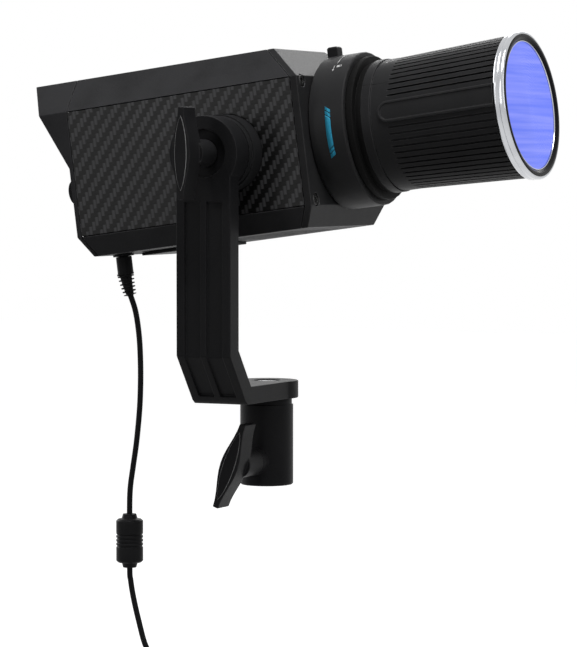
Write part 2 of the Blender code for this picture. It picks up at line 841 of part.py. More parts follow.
def fan_rotor(head, plastic):
    """A hub and its straight blades as one outline."""
    outline = []
    half = BLADE_THICKNESS / 2
    root = math.asin(half / FAN_HUB_R)
    tip = math.asin(half / (FAN_R - 0.0005))
    for k in range(BLADE_COUNT):
        turn = 2 * math.pi * k / BLADE_COUNT
        for radius, t in (
            (FAN_HUB_R, turn - root), (FAN_R - 0.0005, turn - tip + 0.35),
            (FAN_R - 0.0005, turn + tip + 0.35), (FAN_HUB_R, turn + root),
        ):
            outline.append((radius * math.cos(t), radius * math.sin(t)))
        between = turn + math.pi / BLADE_COUNT
        outline.append((FAN_HUB_R * math.cos(between), FAN_HUB_R * math.sin(between)))
    end = SINK_REAR - GAP - 0.0012
    start = SINK_REAR - GAP - FAN_DEPTH + FAN_GUARD + GAP
    return finish("fan_rotor", prism(outline, "X", start, end), plastic, head)


def driver_board(head, circuit):
    """The power board, which slides into the shell just above its floor."""
    low = BOTTOM_Z + 0.0078
    half = half_width_at(low, WALL + PANEL_THICKNESS + GAP) - 2 * GAP
    outline = rectangle(0.0, low + BOARD_THICKNESS / 2, 2 * half, BOARD_THICKNESS)
    return finish("driver_board", prism(outline, "X", -0.088, 0.038), circuit, head)


# ---------------------------------------------------------------- below the head

def foot_plate(head, steel):
    middle = FOOT_REAR + FOOT_LENGTH / 2
    high = BOTTOM_Z - GAP
    outline = rectangle(middle, high - FOOT_THICKNESS / 2, FOOT_LENGTH, FOOT_THICKNESS)
    return finish("foot_plate", prism(outline, "Y", -FOOT_WIDTH / 2, FOOT_WIDTH / 2), steel, head)


def dc_inlet(head, plastic):
    """A round socket let into the floor of the shell."""
    lip = BOTTOM_Z - INLET_LIP
    top = BOTTOM_Z + 0.0060
    profile = [
        (lip, SHANK_R + GAP), (lip, INLET_R + 0.0012), (BOTTOM_Z - GAP, INLET_R + 0.0012),
        (BOTTOM_Z - GAP, INLET_R), (top, INLET_R), (top, SHANK_R + GAP),
    ]
    return finish("dc_inlet", turned(profile, "Z", MEDIUM_SIDES), plastic, head, (INLET_X, CORD_Y, 0.0))


def dc_plug(head, plastic):
    """The plug's shank in the socket and its moulded body below."""
    top = BOTTOM_Z - INLET_LIP - GAP
    end = top - PLUG_LENGTH
    profile = [
        (BOTTOM_Z + 0.0050, 0.0), (BOTTOM_Z + 0.0050, SHANK_R), (top, SHANK_R),
        (top, PLUG_R), (end, PLUG_R), (end, 0.0),
    ]
    return finish("dc_plug", turned(profile, "Z", SMALL_SIDES), plastic, head, (INLET_X, CORD_Y, 0.0))


def tilt_boss(head, plastic):
    """The round boss that the yoke's eye clamps against, seated in the near panel."""
    inner = -(HALF_WIDTH + 0.0)
    outer = inner - BOSS_LENGTH
    root = -(HALF_WIDTH - PANEL_THICKNESS)
    profile = [
        (root, BOLT_R + RUNNING), (root, BOSS_R), (outer + 0.0035, BOSS_R),
        (outer + 0.0035, BOSS_R - 0.0012), (outer, BOSS_R - 0.0012), (outer, BOLT_R + RUNNING),
    ]
    return finish("tilt_boss", turned(profile, "Y", LARGE_SIDES), plastic, head)


# ---------------------------------------------------------------- yoke

def eye_inner():
    return -(HALF_WIDTH + BOSS_LENGTH + WASHER_THICKNESS + 2 * GAP)


def arm_outer():
    return eye_inner() - EYE_THICKNESS


def friction_washer(pivot, fibre):
    outer = eye_inner() + GAP
    inner = outer + WASHER_THICKNESS
    profile = [
        (outer, BOLT_R + RUNNING), (inner, BOLT_R + RUNNING),
        (inner, WASHER_R), (outer, WASHER_R),
    ]
    return finish("friction_washer", turned(profile, "Y", MEDIUM_SIDES), fibre, pivot)


def arm_path():
    """The arm's outer and inner lines from the eye to the plate, as (y, drop) points."""
    outer = arm_outer()
    inner = outer + ARM_THICKNESS
    plate_top = -PLATE_TOP_DROP
    plate_bottom = plate_top - PLATE_THICKNESS
    rake = (PLATE_CORNER_Y - inner) / (PLATE_TOP_DROP - ARM_BEND_DROP + 0.0035)
    foot_y = outer + (PLATE_TOP_DROP + PLATE_THICKNESS - 0.0021 - ARM_BEND_DROP) * rake
    outside = [(outer, 0.0), (outer, -ARM_BEND_DROP), (foot_y, plate_bottom + 0.0021),
               (foot_y + 0.0030, plate_bottom)]
    inside = [(PLATE_CORNER_Y, plate_top), (inner, -ARM_BEND_DROP + 0.0035), (inner, 0.0)]
    return outside, inside


def yoke_arm(pivot, plastic):
    """One solid: eye, channelled arm, slanted foot and the plate over the receiver."""
    outside, inside = arm_path()
    plate_top = -PLATE_TOP_DROP
    plate_bottom = plate_top - PLATE_THICKNESS
    outline = outside + [(0.0, plate_bottom), (0.0, plate_top)] + inside
    half = ARM_WIDTH / 2
    made = finish("yoke_arm", prism(outline, "X", -half, half), plastic, pivot)
    eye = prism(circle(EYE_R, LARGE_SIDES), "Y", arm_outer(), eye_inner())
    join(made, finish("arm_eye", eye, plastic, pivot))
    end = prism(circle(PLATE_END_R, LARGE_SIDES), "Z", plate_bottom, plate_top)
    join(made, finish("plate_end", end, plastic, pivot))
    cup_floor = arm_outer() + CUP_DEPTH
    cup = prism(circle(CUP_R, MEDIUM_SIDES), "Y", arm_outer() - 0.01, cup_floor)
    cut(made, finish("eye_cup", cup, plastic, pivot))
    bore = prism(circle(BOLT_R + RUNNING, MEDIUM_SIDES), "Y", cup_floor - 0.001, eye_inner() + 0.01)
    cut(made, finish("eye_bore", bore, plastic, pivot))
    channels(made, outside, pivot, plastic)
    sink = turned([
        (plate_top + 0.001, 0.0), (plate_top + 0.001, 0.0085), (plate_top - 0.0050, 0.0085),
        (plate_top - 0.0050, BOLT_R + RUNNING), (plate_bottom - 0.001, BOLT_R + RUNNING),
        (plate_bottom - 0.001, 0.0),
    ], "Z", MEDIUM_SIDES)
    cut(made, finish("plate_counterbore", sink, plastic, pivot))
    return made


def channels(arm, outside, pivot, plastic):
    """Two shallow channels down the arm's outer face, either side of a middle rib."""
    (outer, _), (_, bend), (foot_y, foot_z), _ = outside
    depth = CHANNEL_DEPTH
    run = Vector((foot_y - outer, foot_z - bend))
    run.normalize()
    normal = Vector((-run.y, run.x))
    stop = Vector((foot_y, foot_z)) - run * 0.003
    low_in = stop + normal * depth
    low_out = stop - normal * 0.004
    knee_in = (outer + depth, bend - depth * 0.35)
    strip = [
        (outer - 0.004, -CHANNEL_TOP_DROP), (outer + depth, -CHANNEL_TOP_DROP),
        knee_in, tuple(low_in), tuple(low_out), (outer - 0.004, bend - 0.0015),
    ]
    for side, label in ((-1, "rear"), (1, "front")):
        near = side * CHANNEL_RIB / 2
        far = near + side * CHANNEL_WIDTH
        shape = prism(strip, "X", min(near, far), max(near, far))
        cut(arm, finish("channel_" + label, shape, plastic, pivot))


def receiver_socket(world, metal):
    """The spigot receiver, with a neck under the plate and a boss for its clamp."""
    bottom = BORE_DEPTH
    top = RECEIVER_LENGTH - BORE_DEPTH
    profile = [
        (-bottom, 0.0), (-bottom, RECEIVER_R - 0.0008), (-bottom + 0.0008, RECEIVER_R),
        (top - RECEIVER_NECK, RECEIVER_R), (top - RECEIVER_NECK, RECEIVER_R - 0.0008),
        (top, RECEIVER_R - 0.0008), (top, 0.0),
    ]
    made = finish("receiver_socket", turned(profile, "Z", MEDIUM_SIDES), metal, world)
    boss = prism(circle(CLAMP_BOSS_R, SMALL_SIDES, 0.0, -CLAMP_DROP), "Y",
                 -RECEIVER_R - CLAMP_BOSS_LENGTH, -RECEIVER_R + 0.0045)
    join(made, finish("clamp_boss", boss, metal, world))
    bore = prism(circle(BORE_R, MEDIUM_SIDES), "Z", -bottom - 0.01, 0.0)
    cut(made, finish("spigot_bore", bore, metal, world))
    stud = prism(circle(STUD_R + RUNNING, SMALL_SIDES, 0.0, -CLAMP_DROP), "Y", -0.04, -BORE_R / 2)
    cut(made, finish("stud_bore", stud, metal, world))
    thread = prism(circle(BOLT_R + GAP, SMALL_SIDES), "Z", 0.0015, 0.03)
    cut(made, finish("bolt_bore", thread, metal, world))
    return made


def receiver_bolt(pivot, steel):
    """The countersunk bolt that holds the plate down on the receiver."""
    floor = -PLATE_TOP_DROP - 0.0050 + GAP
    end = -PIVOT_HEIGHT + 0.0018 + GAP
    profile = [
        (end, 0.0), (end, BOLT_R), (floor, BOLT_R), (floor, 0.0080), (floor + 0.0040, 0.0080),
        (floor + 0.0040, 0.0030), (floor + 0.0018, 0.0030), (floor + 0.0018, 0.0),
    ]
    return finish("receiver_bolt", turned(profile, "Z", SMALL_SIDES), steel, pivot)


def handle_outline():
    """A bar that swells in the middle and has flat ends."""
    steps = 12
    half = HANDLE_LENGTH / 2
    swell = (HANDLE_WIDTH - HANDLE_END_WIDTH) / 2
    right = []
    for k in range(steps + 1):
        z = -half + HANDLE_LENGTH * k / steps
        width = HANDLE_END_WIDTH / 2 + swell * math.cos(math.pi * z / HANDLE_LENGTH) ** 2
        right.append((width, z))
    return right + [(-x, z) for x, z in reversed(right)]


def t_handle(name, hub_end, hub_length, blind, parent, plastic):
    """A T-handle along -Y: its hub starts at hub_end and the bar stands beyond."""
    bar_in = hub_end - hub_length
    bar_out = bar_in - HANDLE_DEPTH
    bar = prism(handle_outline(), "Y", bar_out, bar_in)
    made = finish(name, bar, plastic, parent)
    hub = prism(circle(HANDLE_HUB_R, MEDIUM_SIDES), "Y", bar_in - 0.003, hub_end)
    join(made, finish(name + "_hub", hub, plastic, parent))
    hole = prism(circle(blind + GAP, SMALL_SIDES), "Y", bar_in - 0.004, hub_end + 0.01)
    cut(made, finish(name + "_bore", hole, plastic, parent))
    return made


def tilt_handle(pivot, plastic):
    hub_end = arm_outer() + CUP_DEPTH - GAP
    return t_handle("tilt_handle", hub_end, HANDLE_HUB_LENGTH, BOLT_R, pivot, plastic)


def tilt_bolt(pivot, steel):
    """The clamp bolt from the handle, through the eye and washer, into the boss."""
    start = arm_outer() + CUP_DEPTH - HANDLE_HUB_LENGTH - 0.003
    end = -(HALF_WIDTH + 0.001)
    profile = [(start, 0.0), (start, BOLT_R), (end, BOLT_R), (end, 0.0)]
    return finish("tilt_bolt", turned(profile, "Y", SMALL_SIDES), steel, pivot)


def clamp_hub_end():
    return -(RECEIVER_R + CLAMP_BOSS_LENGTH + GAP)


def clamp_handle(clamp, plastic):
    return t_handle("clamp_handle", clamp_hub_end(), HANDLE_HUB_LENGTH, STUD_R, clamp, plastic)


def clamp_stud(clamp, steel):
    start = clamp_hub_end() - HANDLE_HUB_LENGTH - 0.003
    end = -(BORE_R + 0.0005)
    profile = [(start, 0.0), (start, STUD_R), (end, STUD_R), (end, 0.0)]
    return finish("clamp_stud", turned(profile, "Y", SMALL_SIDES), steel, clamp)


# ---------------------------------------------------------------- power lead

def route_tube(name, route, pivot, rubber):
    """A round cord as a curve with a bevel, through a smooth line."""
    line = smooth_route(route, CORD_R * 4.6)
    curve = bpy.data.curves.new(name, "CURVE")
    curve.dimensions = "3D"
    curve.bevel_depth = CORD_R
    curve.bevel_resolution = 2
    curve.use_fill_caps = True
    spline = curve.splines.new("POLY")
    spline.points.add(len(line) - 1)
    for point, at in zip(spline.points, line):
        point.co = (at.x, 0.0, at.z, 1.0)
    curve.materials.append(rubber)
    made = bpy.data.objects.new(name, curve)
    made.location = (0.0, CORD_Y, 0.0)
    made.parent = pivot
    bpy.context.collection.objects.link(made)
    return made


def strain_relief(pivot, rubber):
    line = smooth_route(RELIEF_ROUTE, 0.002)
    count = len(line) - 1
    wide, narrow = PLUG_R - 0.0006, CORD_R + 0.0006
    radii = [wide + (narrow - wide) * i / count for i in range(count + 1)]
    shape = swept(line, radii, SMALL_SIDES)
    return finish("strain_relief", shape, rubber, pivot, (0.0, CORD_Y, 0.0))


def ferrite_bead(pivot, plastic):
    """A moulded bead with small end collars and a grooved middle."""
    top = FERRITE_TOP
    end = top - FERRITE_LENGTH
    collar = 0.0030
    profile = [(top, 0.0), (top, CORD_R + 0.0021), (top - collar, CORD_R + 0.0027),
               (top - collar, FERRITE_R - 0.0010), (top - collar - 0.0010, FERRITE_R)]
    for k in range(3):
        at = top - 0.0100 - k * 0.0050
        profile += [(at, FERRITE_R), (at - 0.0006, FERRITE_R - 0.0007),
                    (at - 0.0018, FERRITE_R - 0.0007), (at - 0.0024, FERRITE_R)]
    profile += [(end + collar + 0.0010, FERRITE_R), (end + collar, FERRITE_R - 0.0010),
                (end + collar, CORD_R + 0.0027), (end, CORD_R + 0.0021), (end, 0.0)]
    at = (UPPER_ROUTE[-1][0], CORD_Y, 0.0)
    return finish("ferrite_bead", turned(profile, "Z", SMALL_SIDES), plastic, pivot, at)


def coil_centre():
    """The coil hangs just under the lower stretch's end."""
    end = LOWER_ROUTE[-1]
    return Vector((end[0], CORD_Y, end[1] - GAP - COIL_MEAN_R - COIL_SECTION_R))


def cord_coil(pivot, rubber):
    """The spare length as one ring about Y."""
    profile = [(a, COIL_MEAN_R + b) for a, b in circle(COIL_SECTION_R, 8)]
    return finish("cord_coil", turned(profile, "Y", MEDIUM_SIDES), rubber, pivot, coil_centre())


def coil_tie(pivot, strap):
    """A strap round the coil's bundle at its front."""
    inner = COIL_SECTION_R + 3 * GAP
    outer = inner + 0.0011
    profile = [(-0.003, inner), (0.003, inner), (0.003, outer), (-0.003, outer)]
    at = coil_centre() + Vector((COIL_MEAN_R, 0.0, 0.0))
    return finish("coil_tie", turned(profile, "Z", SMALL_SIDES), strap, pivot, at)


def tail_route():
    low = coil_centre() - Vector((0.0, 0.0, COIL_MEAN_R + COIL_SECTION_R + GAP))
    return ((low.x, low.z), (low.x + 0.0010, low.z - TAIL_LENGTH * 0.5),
            (low.x + 0.0010, low.z - TAIL_LENGTH))


def line_connector(pivot, plastic):
    x, z = tail_route()[-1]
    top = z - GAP
    end = top - CONNECTOR_LENGTH
    profile = [
        (top, 0.0), (top, CORD_R + 0.0010), (top - 0.008, CORD_R + 0.0018),
        (top - 0.010, CONNECTOR_R), (end, CONNECTOR_R), (end, 0.0030),
        (end + 0.007, 0.0030), (end + 0.007, 0.0),
    ]
    return finish("line_connector", turned(profile, "Z", SMALL_SIDES), plastic, pivot, (x, CORD_Y, 0.0))


# ---------------------------------------------------------------- assembly

def main():
    clear_scene()
    paint = material("charcoal_paint", (0.030, 0.031, 0.033), 0.55)
    weave = material("carbon_weave", (0.045, 0.046, 0.048), 0.45)
    plastic = material("black_plastic", (0.022, 0.022, 0.024), 0.50)
    rubber = material("black_rubber", (0.020, 0.020, 0.021), 0.65)
    metal = material("black_alloy", (0.025, 0.025, 0.027), 0.42, 0.3)
    chrome = material("black_chrome", (0.30, 0.31, 0.33), 0.15, 1.0)
    steel = material("steel", (0.45, 0.45, 0.46), 0.30, 1.0)
    alloy = material("bare_alloy", (0.60, 0.61, 0.62), 0.35, 1.0)
    glass = material("lens_glass", (0.30, 0.33, 0.90), 0.10)
    screen = material("screen_glass", (0.02, 0.025, 0.03), 0.08)
    circuit = material("circuit_board", (0.02, 0.12, 0.05), 0.50)
    ceramic = material("led_ceramic", (0.75, 0.72, 0.55), 0.50)
    fibre = material("fibre_washer", (0.16, 0.15, 0.14), 0.80)

    world = empty("world_frame", (0.0, 0.0, 0.0))
    pivot = empty("tilt_pivot", (0.0, 0.0, PIVOT_HEIGHT), world)
    head = empty("head_frame", (0.0, 0.0, 0.0), pivot, (0.0, -HEAD_TILT, 0.0))
    light = empty("light_axis", (0.0, 0.0, LIGHT_Z), head)
    clamp = empty("clamp_axis", (0.0, 0.0, -CLAMP_DROP), world,
                  (0.0, math.radians(CLAMP_TILT_DEGREES), 0.0))

    body_shell(head, paint)
    near = side_panel("side_panel_near", -1, head, weave)
    opening = prism(circle(BOSS_R + GAP, LARGE_SIDES), "Y", -HALF_WIDTH - 0.01, -HALF_WIDTH + 0.01)
    cut(near, finish("boss_opening", opening, weave, head))
    side_panel("side_panel_far", 1, head, weave)
    rear_cover(head, plastic)
    control_fascia(head, plastic)
    display_window(head, screen)
    control_board(head, circuit)
    knob("knob_near", -1, head, rubber)
    knob("knob_far", 1, head, rubber)
    for i, (y, z) in enumerate(key_places()):
        push_key(f"menu_key_{i + 1}", y, z, KEY_R, KEY_STAND, head, rubber)
    push_key("power_key", 0.0, POWER_Z, POWER_R, KEY_STAND, head, rubber)
    front_bezel(head, paint)
    for i, (y, z) in enumerate(screw_places()):
        bezel_screw(f"bezel_screw_{i + 1}", y, z, head, steel)
    heat_sink(head, alloy)
    led_module(light, ceramic)
    reflector(light, alloy)
    fan_frame(head, plastic)
    fan_rotor(head, plastic)
    driver_board(head, circuit)
    foot_plate(head, steel)
    tilt_boss(head, plastic)

    mount_ring(light, metal)
    release_button(light, metal)
    lens_tube(light, metal)
    zoom_barrel(light, rubber)
    barrel_pad("barrel_pad_near", math.radians(90 - PAD_DEGREES), light, rubber)
    barrel_pad("barrel_pad_far", math.radians(-90 - PAD_DEGREES), light, rubber)
    front_ring(light, chrome)
    fresnel_lens(light, glass)

    friction_washer(pivot, fibre)
    yoke_arm(pivot, plastic)
    receiver_socket(world, metal)
    receiver_bolt(pivot, steel)
    tilt_handle(pivot, plastic)
    tilt_bolt(pivot, steel)
    clamp_handle(clamp, plastic)
    clamp_stud(clamp, steel)

    dc_inlet(head, plastic)
    dc_plug(head, plastic)
    strain_relief(pivot, rubber)
    route_tube("cord_upper", UPPER_ROUTE, pivot, rubber)
    ferrite_bead(pivot, plastic)
    route_tube("cord_lower", LOWER_ROUTE, pivot, rubber)
    cord_coil(pivot, rubber)
    coil_tie(pivot, rubber)
    route_tube("cord_tail", tail_route(), pivot, rubber)
    line_connector(pivot, plastic)


main()
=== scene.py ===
import math

import bmesh
import bpy
from mathutils import Matrix, Vector


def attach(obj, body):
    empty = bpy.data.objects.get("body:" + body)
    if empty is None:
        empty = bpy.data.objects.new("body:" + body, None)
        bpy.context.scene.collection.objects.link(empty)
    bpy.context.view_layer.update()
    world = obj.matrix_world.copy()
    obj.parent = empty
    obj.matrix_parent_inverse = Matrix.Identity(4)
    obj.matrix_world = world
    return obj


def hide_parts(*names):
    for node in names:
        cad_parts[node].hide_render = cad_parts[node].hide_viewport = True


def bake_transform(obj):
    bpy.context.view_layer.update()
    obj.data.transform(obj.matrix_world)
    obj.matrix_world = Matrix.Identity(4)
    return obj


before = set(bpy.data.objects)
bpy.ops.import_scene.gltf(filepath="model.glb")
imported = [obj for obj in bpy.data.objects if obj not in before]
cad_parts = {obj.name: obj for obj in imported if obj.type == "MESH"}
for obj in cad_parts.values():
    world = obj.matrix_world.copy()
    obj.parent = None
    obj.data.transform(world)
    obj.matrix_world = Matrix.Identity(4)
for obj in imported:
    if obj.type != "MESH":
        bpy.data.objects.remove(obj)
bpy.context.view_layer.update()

# ---------------------------------------------------------------------------
# Camera. A long lens looks along the floor from the light's front left, a
# little down from level, so that the yoke's arm stands before the head.
# ---------------------------------------------------------------------------
PIVOT = Vector((0, 0, 0.160))    # the tilt axis crosses the light's middle plane here
camera_data = bpy.data.cameras.new("camera")
camera_data.lens = 178.05
camera_data.sensor_width = 36
camera = bpy.data.objects.new("camera", camera_data)
bpy.context.scene.collection.objects.link(camera)
camera.location = (0.8727, -1.7980, 0.1529)
VIEW_DOWN = math.radians(2.83)
VIEW_HEADING = Vector((-0.4305, 0.9026, 0)).normalized()
view_line = VIEW_HEADING * math.cos(VIEW_DOWN) - Vector((0, 0, math.sin(VIEW_DOWN)))
camera.rotation_euler = view_line.to_track_quat("-Z", "Y").to_euler()
bpy.context.scene.camera = camera
bpy.context.scene.view_settings.view_transform = "Standard"

# ---------------------------------------------------------------------------
# Power lead. A black PVC lead, 3.6 mm thick and about 1.3 m long, leaves the
# plug's strain relief, runs through a ferrite bead, and is wound in seven turns
# under a hook-and-loop tie before its screw-collar connector.
# ---------------------------------------------------------------------------


def add_object(name, mesh, material, body, place=None):
    """A new piece with its material, riding on one of the light's bodies."""
    piece = bpy.data.objects.new(name, mesh)
    bpy.context.scene.collection.objects.link(piece)
    if place is not None:
        piece.matrix_world = place
    if material is not None:
        mesh.materials.clear()
        mesh.materials.append(material)
    if body:
        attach(piece, body)
    return piece


def smooth_faces(mesh, degrees=35):
    """Round surfaces shade smooth and edges sharper than this stay crisp."""
    mesh.shade_smooth()
    mesh.set_sharp_from_angle(angle=math.radians(degrees))


def mesh_of(name, points, faces, degrees=35):
    """A mesh from points and faces, with its faces turned outwards."""
    mesh = bpy.data.meshes.new(name)
    mesh.from_pydata([tuple(p) for p in points], [], faces)
    bm = bmesh.new()
    bm.from_mesh(mesh)
    bmesh.ops.recalc_face_normals(bm, faces=bm.faces)
    bm.to_mesh(mesh)
    bm.free()
    smooth_faces(mesh, degrees)
    return mesh


def eased(points, step):
    """A smooth line through the points, with new points about a step apart."""
    pts = [Vector(p) for p in points]
    line = [pts[0]]
    for i in range(len(pts) - 1):
        a, b = pts[i], pts[i + 1]
        before = pts[i - 1] if i else a * 2 - b
        after = pts[i + 2] if i + 2 < len(pts) else b * 2 - a
        parts = max(1, round((b - a).length / step))
        for k in range(1, parts + 1):
            t = k / parts
            line.append(0.5 * (2 * a + (b - before) * t
                               + (2 * before - 5 * a + 4 * b - after) * t ** 2
                               + (3 * a - before - 3 * b + after) * t ** 3))
    return line


def tube(name, line, radii, sides):
    """A round tube along a line; its radius may change from ring to ring."""
    across = Vector((0, 1, 0))
    points, faces = [], []
    for i, p in enumerate(line):
        along = (line[min(i + 1, len(line) - 1)] - line[max(i - 1, 0)]).normalized()
        across = (across - along * across.dot(along)).normalized()
        up = along.cross(across)
        radius = radii[i] if hasattr(radii, "__len__") else radii
        for k in range(sides):
            turn = 2 * math.pi * k / sides
            points.append(p + (across * math.cos(turn) + up * math.sin(turn)) * radius)
    for i in range(len(line) - 1):
        for k in range(sides):
            a, b = i * sides + k, i * sides + (k + 1) % sides
            faces.append((a, b, b + sides, a + sides))
    faces += [tuple(range(sides)), tuple(range(len(points) - sides, len(points)))]
    return mesh_of(name, points, faces)


DULL_SPECULAR = 0.05    # low, so that the blacks hardly mirror the white surround


class Finish:
    """One material: its Principled shader, and short ways to add nodes."""

    def __init__(self, name, **sockets):
        self.material = bpy.data.materials.new(name)
        self.material.use_nodes = True
        self.tree = self.material.node_tree
        self.shader = self.tree.nodes["Principled BSDF"]
        self.shader.inputs["Specular IOR Level"].default_value = DULL_SPECULAR
        for label, value in sockets.items():
            self.shader.inputs[label.replace("_", " ")].default_value = value

    def node(self, kind, **settings):
        made = self.tree.nodes.new(kind)
        for label, value in settings.items():
            setattr(made, label, value)
        return made

    def group(self, group, **values):
        """Places a shared effect with this material's own values."""
        made = self.node("ShaderNodeGroup")
        made.node_tree = group
        for label, value in values.items():
            made.inputs[label.replace("_", " ")].default_value = value
        return made

    def link(self, source, target):
        self.tree.links.new(source, target)

    def colours(self, mask, low, high):
        """A colour between two, by a mask."""
        mix = self.node("ShaderNodeMix", data_type="RGBA")
        self.link(mask, mix.inputs[0])
        self.colour(mix.inputs[6], low)
        self.colour(mix.inputs[7], high)
        return mix.outputs[2]

    def colour(self, socket, value):
        """A colour socket takes a written colour or another node's."""
        if isinstance(value, bpy.types.NodeSocket):
            self.link(value, socket)
        else:
            socket.default_value = (*value, 1)

    def numbers(self, mask, low, high):
        """A number between two, by a mask."""
        spread = self.node("ShaderNodeMapRange")
        self.link(mask, spread.inputs["Value"])
        spread.inputs["To Min"].default_value = low
        spread.inputs["To Max"].default_value = high
        return spread.outputs["Result"]

    def bump(self, height, distance, strength=1.0):
        """Raises the surface by a height from 0 to 1 of that distance."""
        made = self.node("ShaderNodeBump")
        made.inputs["Distance"].default_value = distance
        made.inputs["Strength"].default_value = strength
        self.link(height, made.inputs["Height"])
        self.link(made.outputs["Normal"], self.shader.inputs["Normal"])


def new_group(name, inputs, outputs):
    """An empty shader group with named inputs and outputs."""
    tree = bpy.data.node_groups.new(name, "ShaderNodeTree")
    for label, value in inputs.items():
        socket = tree.interface.new_socket(label, in_out="INPUT", socket_type="NodeSocketFloat")
        socket.default_value = value
    for label in outputs:
        tree.interface.new_socket(label, in_out="OUTPUT", socket_type="NodeSocketFloat")
    return tree, tree.nodes.new("NodeGroupInput"), tree.nodes.new("NodeGroupOutput")


def sums(tree, operation, *terms):
    """One arithmetic step in a group; a term is a number or a socket."""
    made = tree.nodes.new("ShaderNodeMath")
    made.operation = operation
    for i, term in enumerate(terms):
        if isinstance(term, bpy.types.NodeSocket):
            tree.links.new(term, made.inputs[i])
        else:
            made.inputs[i].default_value = term
    return made.outputs[0]


def clamped(tree, value):
    """Keeps a group's value between 0 and 1."""
    return sums(tree, "MINIMUM", sums(tree, "MAXIMUM", value, 0.0), 1.0)


def grain_group():
    """Fine moulded or sprayed grain, with slow clouding from place to place."""
    tree, given, out = new_group("surface_grain", {"Grain Scale": 2500, "Cloud Scale": 40},
                                 ("Height", "Cloud", "Speck"))
    place = tree.nodes.new("ShaderNodeTexCoord").outputs["Object"]
    fine = tree.nodes.new("ShaderNodeTexNoise")
    fine.inputs["Detail"].default_value = 3
    cloud = tree.nodes.new("ShaderNodeTexNoise")
    cloud.inputs["Detail"].default_value = 4
    for noise, label in ((fine, "Grain Scale"), (cloud, "Cloud Scale")):
        tree.links.new(place, noise.inputs["Vector"])
        tree.links.new(given.outputs[label], noise.inputs["Scale"])
    tree.links.new(fine.outputs["Fac"], out.inputs["Height"])
    spread = sums(tree, "MULTIPLY_ADD", cloud.outputs["Fac"], 2.4, -0.7)
    tree.links.new(clamped(tree, spread), out.inputs["Cloud"])
    speck = sums(tree, "MULTIPLY_ADD", fine.outputs["Fac"], 3.0, -1.0)
    tree.links.new(clamped(tree, speck), out.inputs["Speck"])
    return tree


def edge_group():
    """Edges rubbed smoother and painted paler than the flats, partly as wear and partly as a painted
    highlight where they catch the light.
    """
    tree, given, out = new_group("edge_wear_and_highlight", {"Width": 0.0006, "Amount": 1.0}, ("Mask",))
    rounded = tree.nodes.new("ShaderNodeBevel")
    rounded.samples = 4
    tree.links.new(given.outputs["Width"], rounded.inputs["Radius"])
    surface = tree.nodes.new("ShaderNodeNewGeometry")
    dot = tree.nodes.new("ShaderNodeVectorMath")
    dot.operation = "DOT_PRODUCT"
    tree.links.new(rounded.outputs["Normal"], dot.inputs[0])
    tree.links.new(surface.outputs["Normal"], dot.inputs[1])
    away = sums(tree, "MULTIPLY", sums(tree, "SUBTRACT", 1.0, dot.outputs["Value"]), 6.0)
    noise = tree.nodes.new("ShaderNodeTexNoise")
    noise.inputs["Scale"].default_value = 260
    tree.links.new(tree.nodes.new("ShaderNodeTexCoord").outputs["Object"], noise.inputs["Vector"])
    broken = sums(tree, "MULTIPLY_ADD", noise.outputs["Fac"], 0.9, 0.45)
    mask = sums(tree, "MULTIPLY", sums(tree, "MINIMUM", away, 1.0), broken)
    mask = sums(tree, "MULTIPLY", mask, given.outputs["Amount"])
    tree.links.new(clamped(tree, mask), out.inputs["Mask"])
    return tree


surface_grain = grain_group()
edge_wear_and_highlight = edge_group()
EDGE_WIDTH = 0.0006


def grained(name, dark, pale, edge, rough, grain=2500, depth=0.00004, wear_and_highlight=0.6,
            cloud=40, **sockets):
    """A finish with grain, clouding and edges painted paler, partly as rubbed wear and partly as a painted
    highlight.
    """
    made = Finish(name, **sockets)
    skin = made.group(surface_grain, Grain_Scale=grain, Cloud_Scale=cloud)
    rim = made.group(edge_wear_and_highlight, Width=EDGE_WIDTH, Amount=wear_and_highlight)
    fleck = made.node("ShaderNodeMath", operation="MULTIPLY_ADD")
    made.link(skin.outputs["Speck"], fleck.inputs[0])
    fleck.inputs[1].default_value = 0.6
    made.link(skin.outputs["Cloud"], fleck.inputs[2])
    fleck.use_clamp = True
    flat = made.colours(fleck.outputs[0], dark, pale)
    # The edge colour is partly rubbed wear and partly a painted highlight along edges that catch the light.
    made.colour(made.shader.inputs["Base Color"], made.colours(rim.outputs["Mask"], flat, edge))
    made.link(made.numbers(skin.outputs["Speck"], rough - 0.06, rough + 0.08),
              made.shader.inputs["Roughness"])
    made.bump(skin.outputs["Height"], depth)
    return made.material


lead_skin = grained("lead_pvc", (0.009, 0.009, 0.010), (0.013, 0.013, 0.014), (0.02, 0.02, 0.021),
                    0.42, grain=1800, depth=0.00003, wear_and_highlight=0.2)
LEAD_DIAMETER = 0.0036
LEAD_Y = -0.030


def lead_points(stations):
    """Points of the lead, which hangs in one plane; heights from the pivot."""
    return [Vector((x, LEAD_Y, PIVOT.z + z)) for x, z in stations]


upper_lead = lead_points([(-0.0811, -0.0862), (-0.0806, -0.0879), (-0.0767, -0.0990), (-0.0743, -0.1140),
                          (-0.0734, -0.1297), (-0.0734, -0.1454), (-0.0742, -0.1611), (-0.0763, -0.1804),
                          (-0.0788, -0.1962), (-0.0809, -0.2103), (-0.0814, -0.2258)])
lower_lead = lead_points([(-0.0814, -0.2610), (-0.0808, -0.2680), (-0.0788, -0.2790), (-0.0750, -0.2938),
                          (-0.0701, -0.3092), (-0.0625, -0.3196), (-0.0540, -0.3306)])
COIL_CENTRE = Vector((-0.0676, LEAD_Y, PIVOT.z - 0.3488))
COIL_RADIUS = 0.0222
COIL_PITCH = 0.00366
COIL_TURNS = 7
COIL_START = math.radians(14)    # where the lead comes down onto the coil
STEPS_PER_TURN = 24


